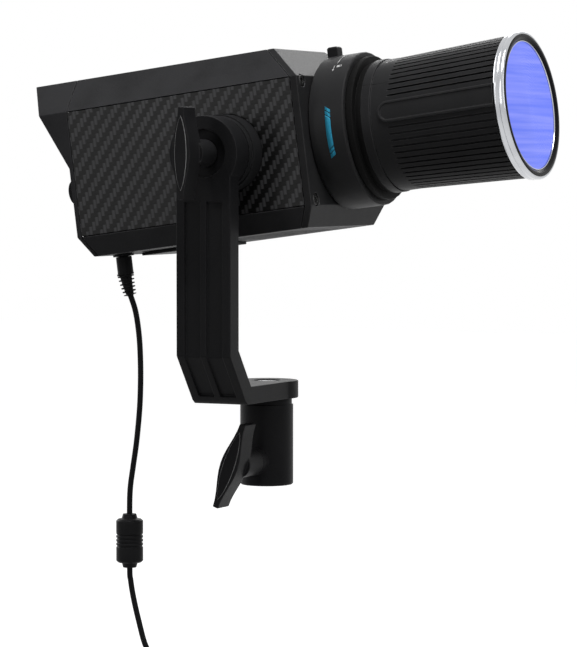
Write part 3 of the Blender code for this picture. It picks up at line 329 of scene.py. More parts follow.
def coil_point(turn):
    """A point so many turns into the coil: a core turn, then six round it."""
    angle = COIL_START - 2 * math.pi * turn
    round_core = math.radians(10) + math.radians(60) * (turn - 1)
    from_core = COIL_PITCH * min(1.0, max(0.0, (turn - 0.9) / 0.15))
    radius = COIL_RADIUS + from_core * math.cos(round_core)
    return COIL_CENTRE + Vector((radius * math.cos(angle), from_core * math.sin(round_core),
                                 radius * math.sin(angle)))


coil = [coil_point(k / STEPS_PER_TURN) for k in range(STEPS_PER_TURN * COIL_TURNS)]
tail = lead_points([(-0.0420, -0.3480), (-0.0424, -0.3580), (-0.0452, -0.3690), (-0.0510, -0.3795),
                    (-0.0585, -0.3890), (-0.0640, -0.3985), (-0.0664, -0.4040), (-0.0666, -0.4074)])
lead_line = eased(upper_lead + lower_lead + coil + tail, 0.0018)
lead = add_object("power_lead", tube("power_lead", lead_line, LEAD_DIAMETER / 2, 14), lead_skin, None)
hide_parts("cord_upper", "cord_lower", "cord_coil", "cord_tail")

# ---------------------------------------------------------------------------
# Lead fittings. The plug, its tapered rubber strain relief, the moulded
# ferrite bead, the hook-and-loop tie and the screw-collar connector.
# ---------------------------------------------------------------------------
HEAD = Matrix.Translation(PIVOT) @ Matrix.Rotation(math.radians(-7.5), 4, "Y")
WORLD = Matrix.Identity(4)


def softened(node, material, body, width=0.0003, place=HEAD, degrees=28):
    """The piece's own solid with its hard edges eased, in place of that solid."""
    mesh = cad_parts[node].data.copy()
    mesh.transform(place.inverted())
    bm = bmesh.new()
    bm.from_mesh(mesh)
    bmesh.ops.remove_doubles(bm, verts=bm.verts, dist=2e-6)
    bmesh.ops.dissolve_limit(bm, angle_limit=math.radians(0.6), verts=bm.verts, edges=bm.edges)
    hard = [e for e in bm.edges
            if len(e.link_faces) == 2 and e.calc_face_angle(0) > math.radians(degrees)]
    bmesh.ops.bevel(bm, geom=hard, offset=width, segments=2, profile=0.5, affect="EDGES",
                    clamp_overlap=False)
    bm.to_mesh(mesh)
    bm.free()
    smooth_faces(mesh, 33)
    mesh.name = node + "_eased"
    piece = add_object(node + "_eased", mesh, material, body, place)
    weighted = piece.modifiers.new("weighted", "WEIGHTED_NORMAL")
    weighted.keep_sharp = True
    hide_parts(node)
    return piece


def rounded(profile, radius):
    """A closed outline with each corner cut to a small round."""
    out = []
    for i, here in enumerate(profile):
        p = Vector(here)
        before, after = Vector(profile[i - 1]), Vector(profile[(i + 1) % len(profile)])
        cut = min(radius, 0.4 * (p - before).length, 0.4 * (after - p).length)
        a, b = p + (before - p).normalized() * cut, p + (after - p).normalized() * cut
        if cut < 0.00004 or abs((p - before).normalized().dot((after - p).normalized())) > 0.995:
            out.append(p)
        else:
            out += [a, (a + 2 * p + b) / 4, b]
    return out


def lathed(name, profile, axis, centre, sides=144, radius=0.0003):
    """A ring turned about an axis through a point; the outline is (along, radius)."""
    along = Vector({"X": (1, 0, 0), "Y": (0, 1, 0), "Z": (0, 0, 1)}[axis])
    across = Vector((0, 0, 1)) if axis != "Z" else Vector((1, 0, 0))
    third = along.cross(across)
    outline = rounded(profile, radius)
    points, faces = [], []
    for k in range(sides):
        turn = 2 * math.pi * k / sides
        out = across * math.cos(turn) + third * math.sin(turn)
        points += [Vector(centre) + along * p[0] + out * p[1] for p in outline]
    count = len(outline)
    for k in range(sides):
        here, there = k * count, (k + 1) % sides * count
        for i in range(count):
            j = (i + 1) % count
            faces.append((here + i, here + j, there + j, there + i))
    return mesh_of(name, points, faces, 40)


plug_skin = grained("plug_rubber", (0.010, 0.010, 0.011), (0.015, 0.015, 0.016), (0.03, 0.03, 0.03),
                    0.46, grain=2200, wear_and_highlight=0.4)
softened("dc_plug", plug_skin, "head", 0.0004)
relief_line = eased(lead_points([(-0.0840, -0.0748), (-0.0826, -0.0812), (-0.0805, -0.0886)]), 0.00016)
FIN_COUNT, FIN_SHARE = 6, 0.34
relief_radii = []
for k in range(len(relief_line)):
    run = k / (len(relief_line) - 1)
    fin = (run * FIN_COUNT) % 1 > 1 - FIN_SHARE and run < 0.97
    core, rim = 0.0040 - 0.0016 * run, 0.0054 - 0.0014 * run
    relief_radii.append(rim if fin or run < 0.08 else core)
relief = add_object("ribbed_strain_relief", tube("ribbed_strain_relief", relief_line, relief_radii, 24),
                    plug_skin, "head")
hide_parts("strain_relief")

BEAD_TOP, BEAD_LENGTH, BEAD_R, BEAD_GROOVE = -0.2261, 0.034, 0.0085, 0.0006
bead_profile = [(BEAD_TOP, 0.0021), (BEAD_TOP, 0.0042), (BEAD_TOP - 0.0030, 0.0050),
                (BEAD_TOP - 0.0032, 0.0072), (BEAD_TOP - 0.0044, BEAD_R)]
for k in range(4):
    at = BEAD_TOP - 0.0126 - k * 0.0024
    bead_profile += [(at, BEAD_R), (at - 0.0003, BEAD_R - BEAD_GROOVE),
                     (at - 0.0009, BEAD_R - BEAD_GROOVE), (at - 0.0012, BEAD_R)]
bead_end = BEAD_TOP - BEAD_LENGTH
bead_profile += [(bead_end + 0.0044, BEAD_R), (bead_end + 0.0032, 0.0072), (bead_end + 0.0030, 0.0050),
                 (bead_end, 0.0042), (bead_end, 0.0021)]
bead_skin = grained("bead_moulding", (0.011, 0.011, 0.012), (0.016, 0.016, 0.017), (0.04, 0.04, 0.042),
                    0.38, grain=2600, wear_and_highlight=0.5)
bead = add_object("ferrite_bead_moulding",
                  lathed("ferrite_bead_moulding", bead_profile, "Z", (-0.0814, LEAD_Y, PIVOT.z), 64),
                  bead_skin, "yoke")
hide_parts("ferrite_bead")

tie_skin = grained("hook_loop_tie", (0.006, 0.006, 0.007), (0.02, 0.02, 0.021), (0.03, 0.03, 0.03),
                   0.9, grain=5200, depth=0.0003, wear_and_highlight=0.2)
tie = softened("coil_tie", tie_skin, "yoke", 0.0003, WORLD)
connector = softened("line_connector", bead_skin, "yoke", 0.0003, WORLD)
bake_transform(lead)

# ---------------------------------------------------------------------------
# Head housing. A five-sided die-cast shell with a raked front, a rear hood,
# a foot plate and a front bezel on four screws, in fine charcoal paint.
# ---------------------------------------------------------------------------
housing_paint = grained("housing_paint", (0.020, 0.020, 0.021), (0.034, 0.034, 0.036),
                        (0.13, 0.13, 0.135), 0.50, grain=1500, depth=0.00010, wear_and_highlight=0.7)
bezel_paint = grained("bezel_paint", (0.016, 0.016, 0.017), (0.025, 0.025, 0.026), (0.22, 0.22, 0.225),
                      0.42, grain=1500, depth=0.00008, wear_and_highlight=0.9)
softened("body_shell", housing_paint, "head", 0.0005)
softened("front_bezel", bezel_paint, "head", 0.0005)
softened("rear_cover", housing_paint, "head", 0.0005)
softened("foot_plate", bezel_paint, "head", 0.0003)
screw_steel = grained("screw_black_steel", (0.03, 0.03, 0.03), (0.05, 0.05, 0.05), (0.25, 0.25, 0.25),
                      0.34, grain=4000, wear_and_highlight=0.8, Metallic=0.8)
for k in range(1, 5):
    softened("bezel_screw_%d" % k, screw_steel, "head", 0.00015)

# ---------------------------------------------------------------------------
# Side panels. A twill-weave laminate let into each flank of the shell, with
# the tows about 2.5 mm wide and a satin lacquer over them.
# ---------------------------------------------------------------------------


def twill_group():
    """Two-over, two-under weave: which tow is on top, its swell and its strands."""
    tree, given, out = new_group("twill_weave", {"Warp Width": 0.0025, "Weft Width": 0.0027},
                                 ("Warp On Top", "Height", "Strands"))
    place = tree.nodes.new("ShaderNodeSeparateXYZ")
    tree.links.new(tree.nodes.new("ShaderNodeTexCoord").outputs["Object"], place.inputs[0])
    across = sums(tree, "DIVIDE", place.outputs["X"], given.outputs["Warp Width"])
    up = sums(tree, "DIVIDE", place.outputs["Z"], given.outputs["Weft Width"])
    step = sums(tree, "SUBTRACT", sums(tree, "FLOOR", across), sums(tree, "FLOOR", up))
    warp = sums(tree, "LESS_THAN", sums(tree, "FLOORED_MODULO", step, 4.0), 1.5)
    weft = sums(tree, "SUBTRACT", 1.0, warp)

    def of_top_tow(of_warp, of_weft):
        """Each place takes the value of the tow that is on top there."""
        return sums(tree, "ADD", sums(tree, "MULTIPLY", of_warp, warp),
                    sums(tree, "MULTIPLY", of_weft, weft))

    swells, strands = [], []
    for line in (across, up):
        side = sums(tree, "MULTIPLY_ADD", sums(tree, "FRACT", line), 2.0, -1.0)
        hollow = sums(tree, "POWER", sums(tree, "ABSOLUTE", side), 2.4)
        swells.append(sums(tree, "SUBTRACT", 1.0, hollow))
        wave = sums(tree, "SINE", sums(tree, "MULTIPLY", line, 44.0))
        strands.append(sums(tree, "MULTIPLY_ADD", wave, 0.5, 0.5))
    tree.links.new(warp, out.inputs["Warp On Top"])
    tree.links.new(of_top_tow(*swells), out.inputs["Height"])
    tree.links.new(of_top_tow(*strands), out.inputs["Strands"])
    return tree


laminate = Finish("twill_laminate")
laminate.shader.inputs["Coat Weight"].default_value = 0.25
laminate.shader.inputs["Coat Roughness"].default_value = 0.28
weave = laminate.group(twill_group(), Warp_Width=0.00247, Weft_Width=0.0027)
haze = laminate.group(surface_grain, Grain_Scale=3000, Cloud_Scale=30)
# Painted sheen: the warp tows are coloured much lighter than the weft tows, and each tow is lighter on its
# crown than at its sides, in place of the light that the fibres catch.
weft_tow_painted_shade = laminate.colours(weave.outputs["Height"], (0.001, 0.001, 0.001), (0.004, 0.004, 0.004))
warp_tow_painted_sheen = laminate.colours(weave.outputs["Height"], (0.016, 0.016, 0.017), (0.064, 0.064, 0.067))
tows = laminate.colours(weave.outputs["Warp On Top"], weft_tow_painted_shade, warp_tow_painted_sheen)
tows_sheen_and_clouding = laminate.node("ShaderNodeMix", data_type="RGBA", blend_type="MULTIPLY")
laminate.link(tows, tows_sheen_and_clouding.inputs[6])
laminate.link(laminate.colours(haze.outputs["Cloud"], (0.82, 0.82, 0.82), (1.0, 1.0, 1.0)),
              tows_sheen_and_clouding.inputs[7])
tows_sheen_and_clouding.inputs[0].default_value = 1.0
laminate.link(tows_sheen_and_clouding.outputs[2], laminate.shader.inputs["Base Color"])
laminate.link(laminate.numbers(weave.outputs["Strands"], 0.40, 0.52),
              laminate.shader.inputs["Roughness"])
laminate.bump(weave.outputs["Height"], 0.00010)
for side in ("near", "far"):
    softened("side_panel_" + side, laminate.material, "head", 0.0003)

# ---------------------------------------------------------------------------
# Rear controls. Under the hood: a fascia with a dark display window, four
# menu keys, a round power key and two knurled rubber knobs.
# ---------------------------------------------------------------------------
moulding = grained("black_moulding", (0.012, 0.012, 0.013), (0.017, 0.017, 0.018), (0.06, 0.06, 0.062),
                   0.48, grain=2600, depth=0.00006, wear_and_highlight=0.5)
softened("control_fascia", moulding, "head", 0.0003)
display = Finish("display_glass", Roughness=0.08, Coat_Weight=0.6)
pane = display.group(surface_grain, Grain_Scale=900, Cloud_Scale=60)
display.colour(display.shader.inputs["Base Color"],
               display.colours(pane.outputs["Cloud"], (0.006, 0.007, 0.009), (0.010, 0.012, 0.015)))
display.link(display.numbers(pane.outputs["Speck"], 0.05, 0.12), display.shader.inputs["Roughness"])
softened("display_window", display.material, "head", 0.0003)
key_rubber = grained("key_rubber", (0.020, 0.020, 0.021), (0.027, 0.027, 0.028), (0.06, 0.06, 0.06),
                     0.62, grain=3000, wear_and_highlight=0.4)
for k in range(1, 5):
    softened("menu_key_%d" % k, key_rubber, "key_%d" % k, 0.0003)
softened("power_key", key_rubber, "key_power", 0.0003)
KNOB_FACE, KNOB_Z, KNOB_R, KNOB_RIBS = -0.1069, -0.009, 0.00835, 30
RIDGE_DEPTH = 0.0004


def knurled_knob(name):
    """A turned knob with fine ridges round its skirt and a rounded end."""
    stations = [(0.0, 0.60, 0), (0.0, 0.96, 0), (0.0006, 1.0, 0), (0.0012, 1.0, 1), (0.0086, 0.97, 1),
                (0.0094, 0.95, 0), (0.0100, 0.90, 0), (0.0104, 0.80, 0), (0.0104, 0.30, 0),
                (0.0102, 0.02, 0)]
    columns = KNOB_RIBS * 4
    points, faces = [], []
    for reach, share, ribbed in stations:
        for k in range(columns):
            turn = 2 * math.pi * k / columns
            radius = KNOB_R * share - (RIDGE_DEPTH if ribbed and k % 4 in (2, 3) else 0.0)
            points.append((-reach, radius * math.cos(turn), radius * math.sin(turn)))
    for i in range(len(stations) - 1):
        for k in range(columns):
            a, b = i * columns + k, i * columns + (k + 1) % columns
            faces.append((a, b, b + columns, a + columns))
    faces += [tuple(range(columns)), tuple(range(len(points) - columns, len(points)))]
    return mesh_of(name, points, faces, 50)


for side, y in (("near", -0.040), ("far", 0.040)):
    knob = add_object("knurled_knob_" + side, knurled_knob("knurled_knob_" + side), key_rubber,
                      side + "_knob", HEAD @ Matrix.Translation((KNOB_FACE, y, KNOB_Z)))
    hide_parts("knob_" + side)

# ---------------------------------------------------------------------------
# Bayonet mount. A black anodised ring on the bezel with a lug groove inside
# its rim, a sprung release button, printed marks and a cyan accent.
# ---------------------------------------------------------------------------
LIGHT_Z = 0.0057    # the light's axis runs this far over the tilt axis
MOUNT_R = 0.0474
ring_alloy = grained("mount_anodised", (0.022, 0.022, 0.023), (0.029, 0.029, 0.030), (0.14, 0.14, 0.145),
                     0.42, grain=3000, depth=0.00004, wear_and_highlight=0.8, cloud=30)
softened("mount_ring", ring_alloy, "head", 0.0003, degrees=20)
softened("release_button", moulding, "release", 0.0004)


def on_ring(x, degrees, radius):
    """A point on the mount ring's barrel; degrees are up from its near side."""
    turn = math.radians(degrees)
    return Vector((x, -radius * math.cos(turn), LIGHT_Z + radius * math.sin(turn)))


def ring_patch(corners, radius, steps=14):
    """A thin print on a round surface, from four corners as (x, degrees)."""
    (ax, ad), (bx, bd), (cx, cd), (dx, dd) = corners
    points, faces = [], []
    for i in range(steps + 1):
        t = i / steps
        points.append(on_ring(ax + (dx - ax) * t, ad + (dd - ad) * t, radius))
        points.append(on_ring(bx + (cx - bx) * t, bd + (cd - bd) * t, radius))
    for i in range(steps):
        faces.append((2 * i, 2 * i + 1, 2 * i + 3, 2 * i + 2))
    return points, faces


def printed(name, patches, material, body):
    """Thin inked marks, each a patch a few hundredths of a millimetre proud."""
    points, faces = [], []
    for patch_points, patch_faces in patches:
        faces += [tuple(len(points) + i for i in face) for face in patch_faces]
        points += patch_points
    mesh = bpy.data.meshes.new(name)
    mesh.from_pydata([tuple(p) for p in points], [], faces)
    smooth_faces(mesh, 60)
    piece = add_object(name, mesh, material, body, HEAD)
    thick = piece.modifiers.new("ink", "SOLIDIFY")
    thick.thickness = 0.00006
    thick.offset = 0
    return piece


PRINT_R = MOUNT_R + 0.00005
accent = Finish("accent_ink", Roughness=0.45)
ink = accent.group(surface_grain, Grain_Scale=1500, Cloud_Scale=60)
accent.colour(accent.shader.inputs["Base Color"],
              accent.colours(ink.outputs["Cloud"], (0.035, 0.33, 0.52), (0.050, 0.39, 0.60)))
accent.link(accent.numbers(ink.outputs["Speck"], 0.38, 0.5), accent.shader.inputs["Roughness"])
STRIPE_BACK, STRIPE_FRONT = 0.0640, 0.0675
# Each part of the stripe: its turns up and down its back edge, then its front edge, and its steps.
STRIPE_PARTS = ((17.7, 15.2, 14.8, 12.3, 14), (14.5, 11.9, 11.6, 9.0, 14), (11.2, -14.6, 8.3, -11.6, 24),
                (-15.1, -17.4, -12.3, -14.6, 14), (-18.1, -21.2, -15.3, -18.4, 14))
stripe = [ring_patch([(STRIPE_BACK, high), (STRIPE_FRONT, front_high), (STRIPE_FRONT, front_low),
                      (STRIPE_BACK, low)], PRINT_R, steps)
          for high, low, front_high, front_low, steps in STRIPE_PARTS]
printed("accent_stripe", stripe, accent.material, "head")

white_ink = Finish("white_ink", Roughness=0.5)
pale = white_ink.group(surface_grain, Grain_Scale=1800, Cloud_Scale=90)
white_ink.colour(white_ink.shader.inputs["Base Color"],
                 white_ink.colours(pale.outputs["Cloud"], (0.60, 0.60, 0.60), (0.72, 0.72, 0.72)))
white_ink.link(white_ink.numbers(pale.outputs["Speck"], 0.42, 0.58),
               white_ink.shader.inputs["Roughness"])


def bar(x0, x1, low, high):
    """A straight-sided mark on the mount ring."""
    return ring_patch([(x0, high), (x1, high), (x1, low), (x0, low)], PRINT_R, 6)


# An index line, then a padlock's body and shackle, then an arrow's shaft and head.
lock_x, lock_turn = 0.0662, 55.0
marks = [bar(0.0661, 0.0665, 59.5, 77.0),
         bar(lock_x + 0.0008, lock_x + 0.0026, lock_turn - 1.3, lock_turn + 1.3),
         bar(lock_x + 0.0026, lock_x + 0.0036, lock_turn - 1.2, lock_turn - 0.8),
         bar(lock_x + 0.0026, lock_x + 0.0036, lock_turn + 0.8, lock_turn + 1.2),
         bar(lock_x + 0.0036, lock_x + 0.0039, lock_turn - 1.2, lock_turn + 1.2),
         bar(lock_x - 0.0010, lock_x - 0.0007, lock_turn - 4.2, lock_turn + 1.5)]
marks.append(ring_patch([(lock_x - 0.0016, lock_turn - 3.6), (lock_x - 0.0001, lock_turn - 3.6),
                         (lock_x - 0.00085, lock_turn - 5.4), (lock_x - 0.00085, lock_turn - 5.4)],
                        PRINT_R, 4))
printed("mount_marks", marks, white_ink.material, "head")

# ---------------------------------------------------------------------------
# Lens unit. A plain tube with a stop flange turns into the bayonet; a ribbed
# zoom barrel slides on it, with two smooth finger pads.
# ---------------------------------------------------------------------------
LENS_CENTRE = (0, 0, LIGHT_Z)
barrel_skin = grained("barrel_moulding", (0.014, 0.014, 0.015), (0.023, 0.023, 0.024), (0.11, 0.11, 0.113),
                      0.42, grain=1900, depth=0.00006, wear_and_highlight=0.55)
tube_black = grained("tube_flat_black", (0.004, 0.004, 0.004), (0.007, 0.007, 0.007), (0.05, 0.05, 0.05),
                     0.6, grain=2600, wear_and_highlight=0.4)
softened("lens_tube", tube_black, "lens_unit", 0.0002, degrees=20)
BARREL_BACK, BARREL_END, BARREL_BORE, BARREL_R = 0.0845, 0.1720, 0.0384, 0.0404
RIBS, RIB_DEPTH, RIB_FOOT, RIB_FULL = 64, 0.0013, 0.1015, 0.1037
COLLAR_R = 0.0410    # the plain collar behind the ribs
PAD_TURN, PAD_WIDTH, PAD_BACK, PAD_BEND = 8.6, 0.0136, 0.0955, 0.0418


def barrel_radius(x):
    """The barrel's own radius, which swells towards its front."""
    return BARREL_R + 0.0028 * min(1.0, max(0.0, (x - RIB_FOOT) / (BARREL_END - RIB_FOOT)))


def barrel_mesh():
    """Trapezoid ribs in the round, with flat lands where the pads sit."""
    profile = ((0.03, 0), (0.07, 1), (0.39, 1), (0.74, 1), (0.78, 0), (0.97, 0))
    columns = [(2 * math.pi * (rib + share) / RIBS, top) for rib in range(RIBS) for share, top in profile]
    stations = [(BARREL_BACK, BARREL_BORE, 0), (BARREL_BACK, COLLAR_R - 0.0004, 0),
                (BARREL_BACK + 0.0004, COLLAR_R, 0), (0.0902, COLLAR_R, 0), (0.0905, COLLAR_R - 0.0002, 0),
                (0.0905, BARREL_R - 0.0003, 0), (0.0909, BARREL_R - 0.0003, 0), (0.0910, BARREL_R, 0),
                (RIB_FOOT, BARREL_R, 0), (RIB_FOOT + 0.0004, BARREL_R, 0.5),
                (RIB_FULL, barrel_radius(RIB_FULL), 1), (BARREL_END - 0.0006, barrel_radius(BARREL_END), 1),
                (BARREL_END, barrel_radius(BARREL_END) - 0.0006, 0.6), (BARREL_END, BARREL_BORE, 0)]
    land = PAD_WIDTH / 2 / BARREL_R + 0.012
    pad_turns = (math.pi - math.radians(PAD_TURN), math.radians(PAD_TURN))
    points, faces = [], []
    for x, radius, ribbed in stations:
        for turn, top in columns:
            beside_pad = any(abs((turn - pad + math.pi) % (2 * math.pi) - math.pi) < land
                             for pad in pad_turns)
            flat = beside_pad or radius == BARREL_BORE
            r = radius - (0.0 if flat else RIB_DEPTH * ribbed * (1 - top))
            points.append((x, r * math.cos(turn), LIGHT_Z + r * math.sin(turn)))
    count = len(columns)
    for i in range(len(stations)):
        j = (i + 1) % len(stations)
        for k in range(count):
            n = (k + 1) % count
            faces.append((i * count + k, i * count + n, j * count + n, j * count + k))
    return mesh_of("ribbed_barrel", points, faces, 32)


barrel = add_object("ribbed_barrel", barrel_mesh(), barrel_skin, "barrel", HEAD)
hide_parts("zoom_barrel")

SCALE_R = BARREL_R + 0.00005
mould_line = [ring_patch([(x0, 36.9), (x1, 36.9), (x1, 36.5), (x0, 36.5)], r, 3)
              for x0, x1, r in ((0.0848, 0.0902, COLLAR_R + 0.00005), (0.0912, 0.1014, SCALE_R))]
printed("barrel_mould_line", mould_line, tube_black, "barrel")
scale = [ring_patch([(x, 70.6 + 2.2 * k), (x + 0.0016, 70.6 + 2.2 * k), (x + 0.0016, 70.0 + 2.2 * k),
                     (x, 70.0 + 2.2 * k)], SCALE_R, 2)
         for k, x in enumerate((0.0962, 0.0968, 0.0962, 0.0968, 0.0962))]
scale.append(ring_patch([(0.0940, 66.5), (0.0955, 69.0), (0.0955, 67.0), (0.0940, 66.1)],
                        SCALE_R, 3))
printed("zoom_scale", scale, white_ink.material, "barrel")


def pad_mesh(name, middle, side):
    """A finger pad: a rounded rim round a bare face, bent to the barrel."""
    half = PAD_WIDTH / 2
    round_centre = PAD_BACK + half
    rings = [(0.0, 0.00003), (0.0002, 0.0012), (0.0006, 0.0015), (0.0015, 0.0015), (0.0018, 0.0010),
             (0.0021, 0.0007), (0.0027, 0.0007)]
    points, faces = [], []
    arc, straight = 16, 12
    for inset, height in rings:
        w = half - inset
        front = BARREL_END - inset * 0.3
        for k in range(straight):
            points.append((front - (BARREL_END - round_centre) * k / straight, w, height))
        for k in range(arc + 1):
            turn = math.pi * k / arc
            points.append((round_centre - w * math.sin(turn), w * math.cos(turn), height))
        for k in range(1, straight + 1):
            points.append((round_centre + (front - round_centre) * k / straight, -w, height))
    count = 2 * straight + arc + 1
    for i in range(len(rings) - 1):
        for k in range(count):
            n = (k + 1) % count
            faces.append((i * count + k, i * count + n, (i + 1) * count + n, (i + 1) * count + k))
    last = (len(rings) - 1) * count
    rows = []
    for k in range(count // 2 + 1):
        a, b = points[last + k], points[last + count - 1 - k]
        row = [last + k]
        if k < count // 2:
            for part in range(1, 6):
                t = part / 6
                points.append((a[0], a[1] + (b[1] - a[1]) * t, a[2]))
                row.append(len(points) - 1)
            row.append(last + count - 1 - k)
        rows.append(row)
    for one, two in zip(rows, rows[1:]):
        if len(two) == 1:
            faces += [(one[i], one[i + 1], two[0]) for i in range(len(one) - 1)]
        else:
            faces += [(one[i], one[i + 1], two[i + 1], two[i]) for i in range(len(one) - 1)]
    faces.append(tuple(reversed(range(count))))
    placed = []
    for x, v, height in points:
        r = barrel_radius(x) + height
        turn = middle + v / PAD_BEND
        placed.append((x, side * r * math.cos(turn), LIGHT_Z + r * math.sin(turn)))
    return mesh_of(name, placed, faces, 35)


for side, sign in (("near", -1), ("far", 1)):
    name = "finger_pad_" + side
    pad = add_object(name, pad_mesh(name, math.radians(PAD_TURN), sign), barrel_skin, "barrel", HEAD)
    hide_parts("barrel_pad_" + side)

# ---------------------------------------------------------------------------
# Front ring and lens. A chromed band, a black lip and a thin bright bead hold
# the moulded fresnel lens, which has turned steps and glows blue-violet.
# ---------------------------------------------------------------------------
RING_BACK, RING_END, RING_R, LENS_R = 0.1723, 0.1796, 0.0450, 0.0387
chrome = Finish("black_chrome", Metallic=1.0, Roughness=0.12)
film = chrome.group(surface_grain, Grain_Scale=1400, Cloud_Scale=50)
chrome.colour(chrome.shader.inputs["Base Color"],
              chrome.colours(film.outputs["Cloud"], (0.44, 0.45, 0.47), (0.56, 0.57, 0.59)))
chrome.link(chrome.numbers(film.outputs["Speck"], 0.08, 0.18), chrome.shader.inputs["Roughness"])
band_profile = [(RING_BACK, 0.0400), (RING_BACK, RING_R - 0.0010), (RING_BACK + 0.0012, RING_R - 0.0002),
                (RING_BACK + 0.0030, RING_R - 0.0003), (RING_BACK + 0.0034, RING_R - 0.0006),
                (RING_BACK + 0.0038, RING_R - 0.0002), (RING_END - 0.0016, RING_R),
                (RING_END - 0.0004, RING_R - 0.0007), (RING_END - 0.0004, 0.0430),
                (RING_BACK + 0.002, 0.0400)]
band = add_object("chromed_band", lathed("chromed_band", band_profile, "X", LENS_CENTRE, 192, 0.0003),
                  chrome.material, "barrel", HEAD)
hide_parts("front_ring")
lip_black = grained("lip_gloss_black", (0.008, 0.008, 0.009), (0.012, 0.012, 0.013), (0.05, 0.05, 0.05),
                    0.24, grain=1500, depth=0.00001, wear_and_highlight=0.2)
lip_profile = [(RING_END - 0.0006, 0.0434), (RING_END, 0.0430), (RING_END, 0.0412),
               (RING_END - 0.0012, 0.0393), (0.1760, 0.0388), (0.1742, 0.0388), (0.1742, 0.0400),
               (RING_END - 0.0010, 0.0428)]
lip = add_object("lens_retainer", lathed("lens_retainer", lip_profile, "X", LENS_CENTRE, 192, 0.0003),
                 lip_black, "barrel", HEAD)
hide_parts("front_ring")

bead_ring = [(0.1772, 0.0384), (0.1772, 0.0390), (0.1783, 0.0391), (0.1783, 0.0386)]
rim_bead = add_object("lens_rim_bead", lathed("lens_rim_bead", bead_ring, "X", LENS_CENTRE, 192, 0.0001),
                      chrome.material, "barrel", HEAD)

lens_profile = [(0.1745, 0.0001), (0.1745, LENS_R), (0.1772, LENS_R), (0.1775, LENS_R - 0.0006)]
LENS_STEPS, STEPPED_R, STEP_DRAFT = 22, LENS_R - 0.0008, 0.00012
for k in range(LENS_STEPS):
    outer = STEPPED_R * (1 - k / LENS_STEPS)
    inner = STEPPED_R * (1 - (k + 1) / LENS_STEPS) + STEP_DRAFT
    lens_profile += [(0.17730, outer), (0.17768, max(inner, 0.0001))]
lens_glow = Finish("lens_glow", Roughness=0.5)
stretch = lens_glow.node("ShaderNodeMapping")
stretch.inputs["Scale"].default_value = (0.0, 0.022, 1.0)
lens_glow.link(lens_glow.node("ShaderNodeTexCoord").outputs["Object"], stretch.inputs["Vector"])
streaks = lens_glow.node("ShaderNodeTexNoise")
streaks.inputs["Scale"].default_value = 260
streaks.inputs["Detail"].default_value = 5
lens_glow.link(stretch.outputs["Vector"], streaks.inputs["Vector"])
band_of_light = lens_glow.node("ShaderNodeMapRange")
band_of_light.inputs["From Min"].default_value = 0.36
band_of_light.inputs["From Max"].default_value = 0.66
lens_glow.link(streaks.outputs["Fac"], band_of_light.inputs["Value"])
glow_colour = lens_glow.colours(band_of_light.outputs["Result"],
                                (0.170, 0.240, 0.94), (0.285, 0.335, 0.99))
lens_glow.colour(lens_glow.shader.inputs["Emission Color"], glow_colour)
lens_glow.shader.inputs["Emission Strength"].default_value = 0.93
lens_glow.colour(lens_glow.shader.inputs["Base Color"],
                 lens_glow.colours(band_of_light.outputs["Result"], (0.02, 0.02, 0.10), (0.03, 0.03, 0.14)))
lens = add_object("stepped_lens", lathed("stepped_lens", lens_profile, "X", LENS_CENTRE, 144, 0.00002),
                  lens_glow.material, "barrel", HEAD)
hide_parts("fresnel_lens")

# ---------------------------------------------------------------------------
# Tilt joint. A round moulded boss on the near panel, a fibre washer and the
# yoke's eye clamp together on the tilt bolt.
# ---------------------------------------------------------------------------
softened("tilt_boss", moulding, "head", 0.0004, degrees=20)
washer_fibre = grained("washer_fibre", (0.10, 0.09, 0.08), (0.16, 0.15, 0.14), (0.2, 0.19, 0.18), 0.8,
                       grain=1800, depth=0.0001, wear_and_highlight=0.2)
softened("friction_washer", washer_fibre, "yoke", 0.0002, WORLD, degrees=20)

# ---------------------------------------------------------------------------
# Yoke. One bent glass-filled nylon arm with two channels up its face, its
# foot bolted on the receiver that clamps on the stand's spigot.
# ---------------------------------------------------------------------------
yoke_nylon = grained("yoke_nylon", (0.008, 0.008, 0.009), (0.014, 0.014, 0.015), (0.085, 0.085, 0.087),
                     0.43, grain=1700, depth=0.00009, wear_and_highlight=0.6, cloud=25)
softened("yoke_arm", yoke_nylon, "yoke", 0.0006, WORLD)
softened("receiver_socket", yoke_nylon, "yoke", 0.0004, WORLD)
bolt_steel = grained("bolt_steel", (0.30, 0.30, 0.31), (0.42, 0.42, 0.43), (0.6, 0.6, 0.6), 0.26,
                     grain=2500, wear_and_highlight=0.6, Metallic=1.0)
softened("receiver_bolt", bolt_steel, "yoke", 0.0002, WORLD)

# ---------------------------------------------------------------------------
# Clamp handles. Two moulded T-handles on steel studs lock the tilt and the
# spigot; each has a bare lens-shaped plate on its outer face.
# ---------------------------------------------------------------------------
handle_nylon = grained("handle_nylon", (0.012, 0.012, 0.013), (0.018, 0.018, 0.019), (0.08, 0.08, 0.082),
                       0.38, grain=2400, depth=0.00006, wear_and_highlight=0.55)
for node, body in (("tilt_handle", "tilt_clamp"), ("clamp_handle", "spigot_clamp")):
    softened(node, handle_nylon, body, 0.0006, WORLD)
LABEL_LENGTH, LABEL_WIDTH = 0.0440, 0.0074


def lens_plate(name, grow, thickness):
    """A thin plate with two bowed sides that meet in points."""
    count = 20
    outline = []
    for sign in (1, -1):
        for k in range(count):
            t = -1 + 2 * k / count
            outline.append((sign * (LABEL_WIDTH / 2 + grow) * (1 - t * t) ** 0.8,
                            sign * t * (LABEL_LENGTH / 2 + grow)))
    points = [(x, y, z) for y in (0, -thickness) for x, z in outline]
    n = len(outline)
    faces = [tuple(range(n)), tuple(range(n, 2 * n))]
    faces += [(k, (k + 1) % n, n + (k + 1) % n, n + k) for k in range(n)]
    return mesh_of(name, points, faces)


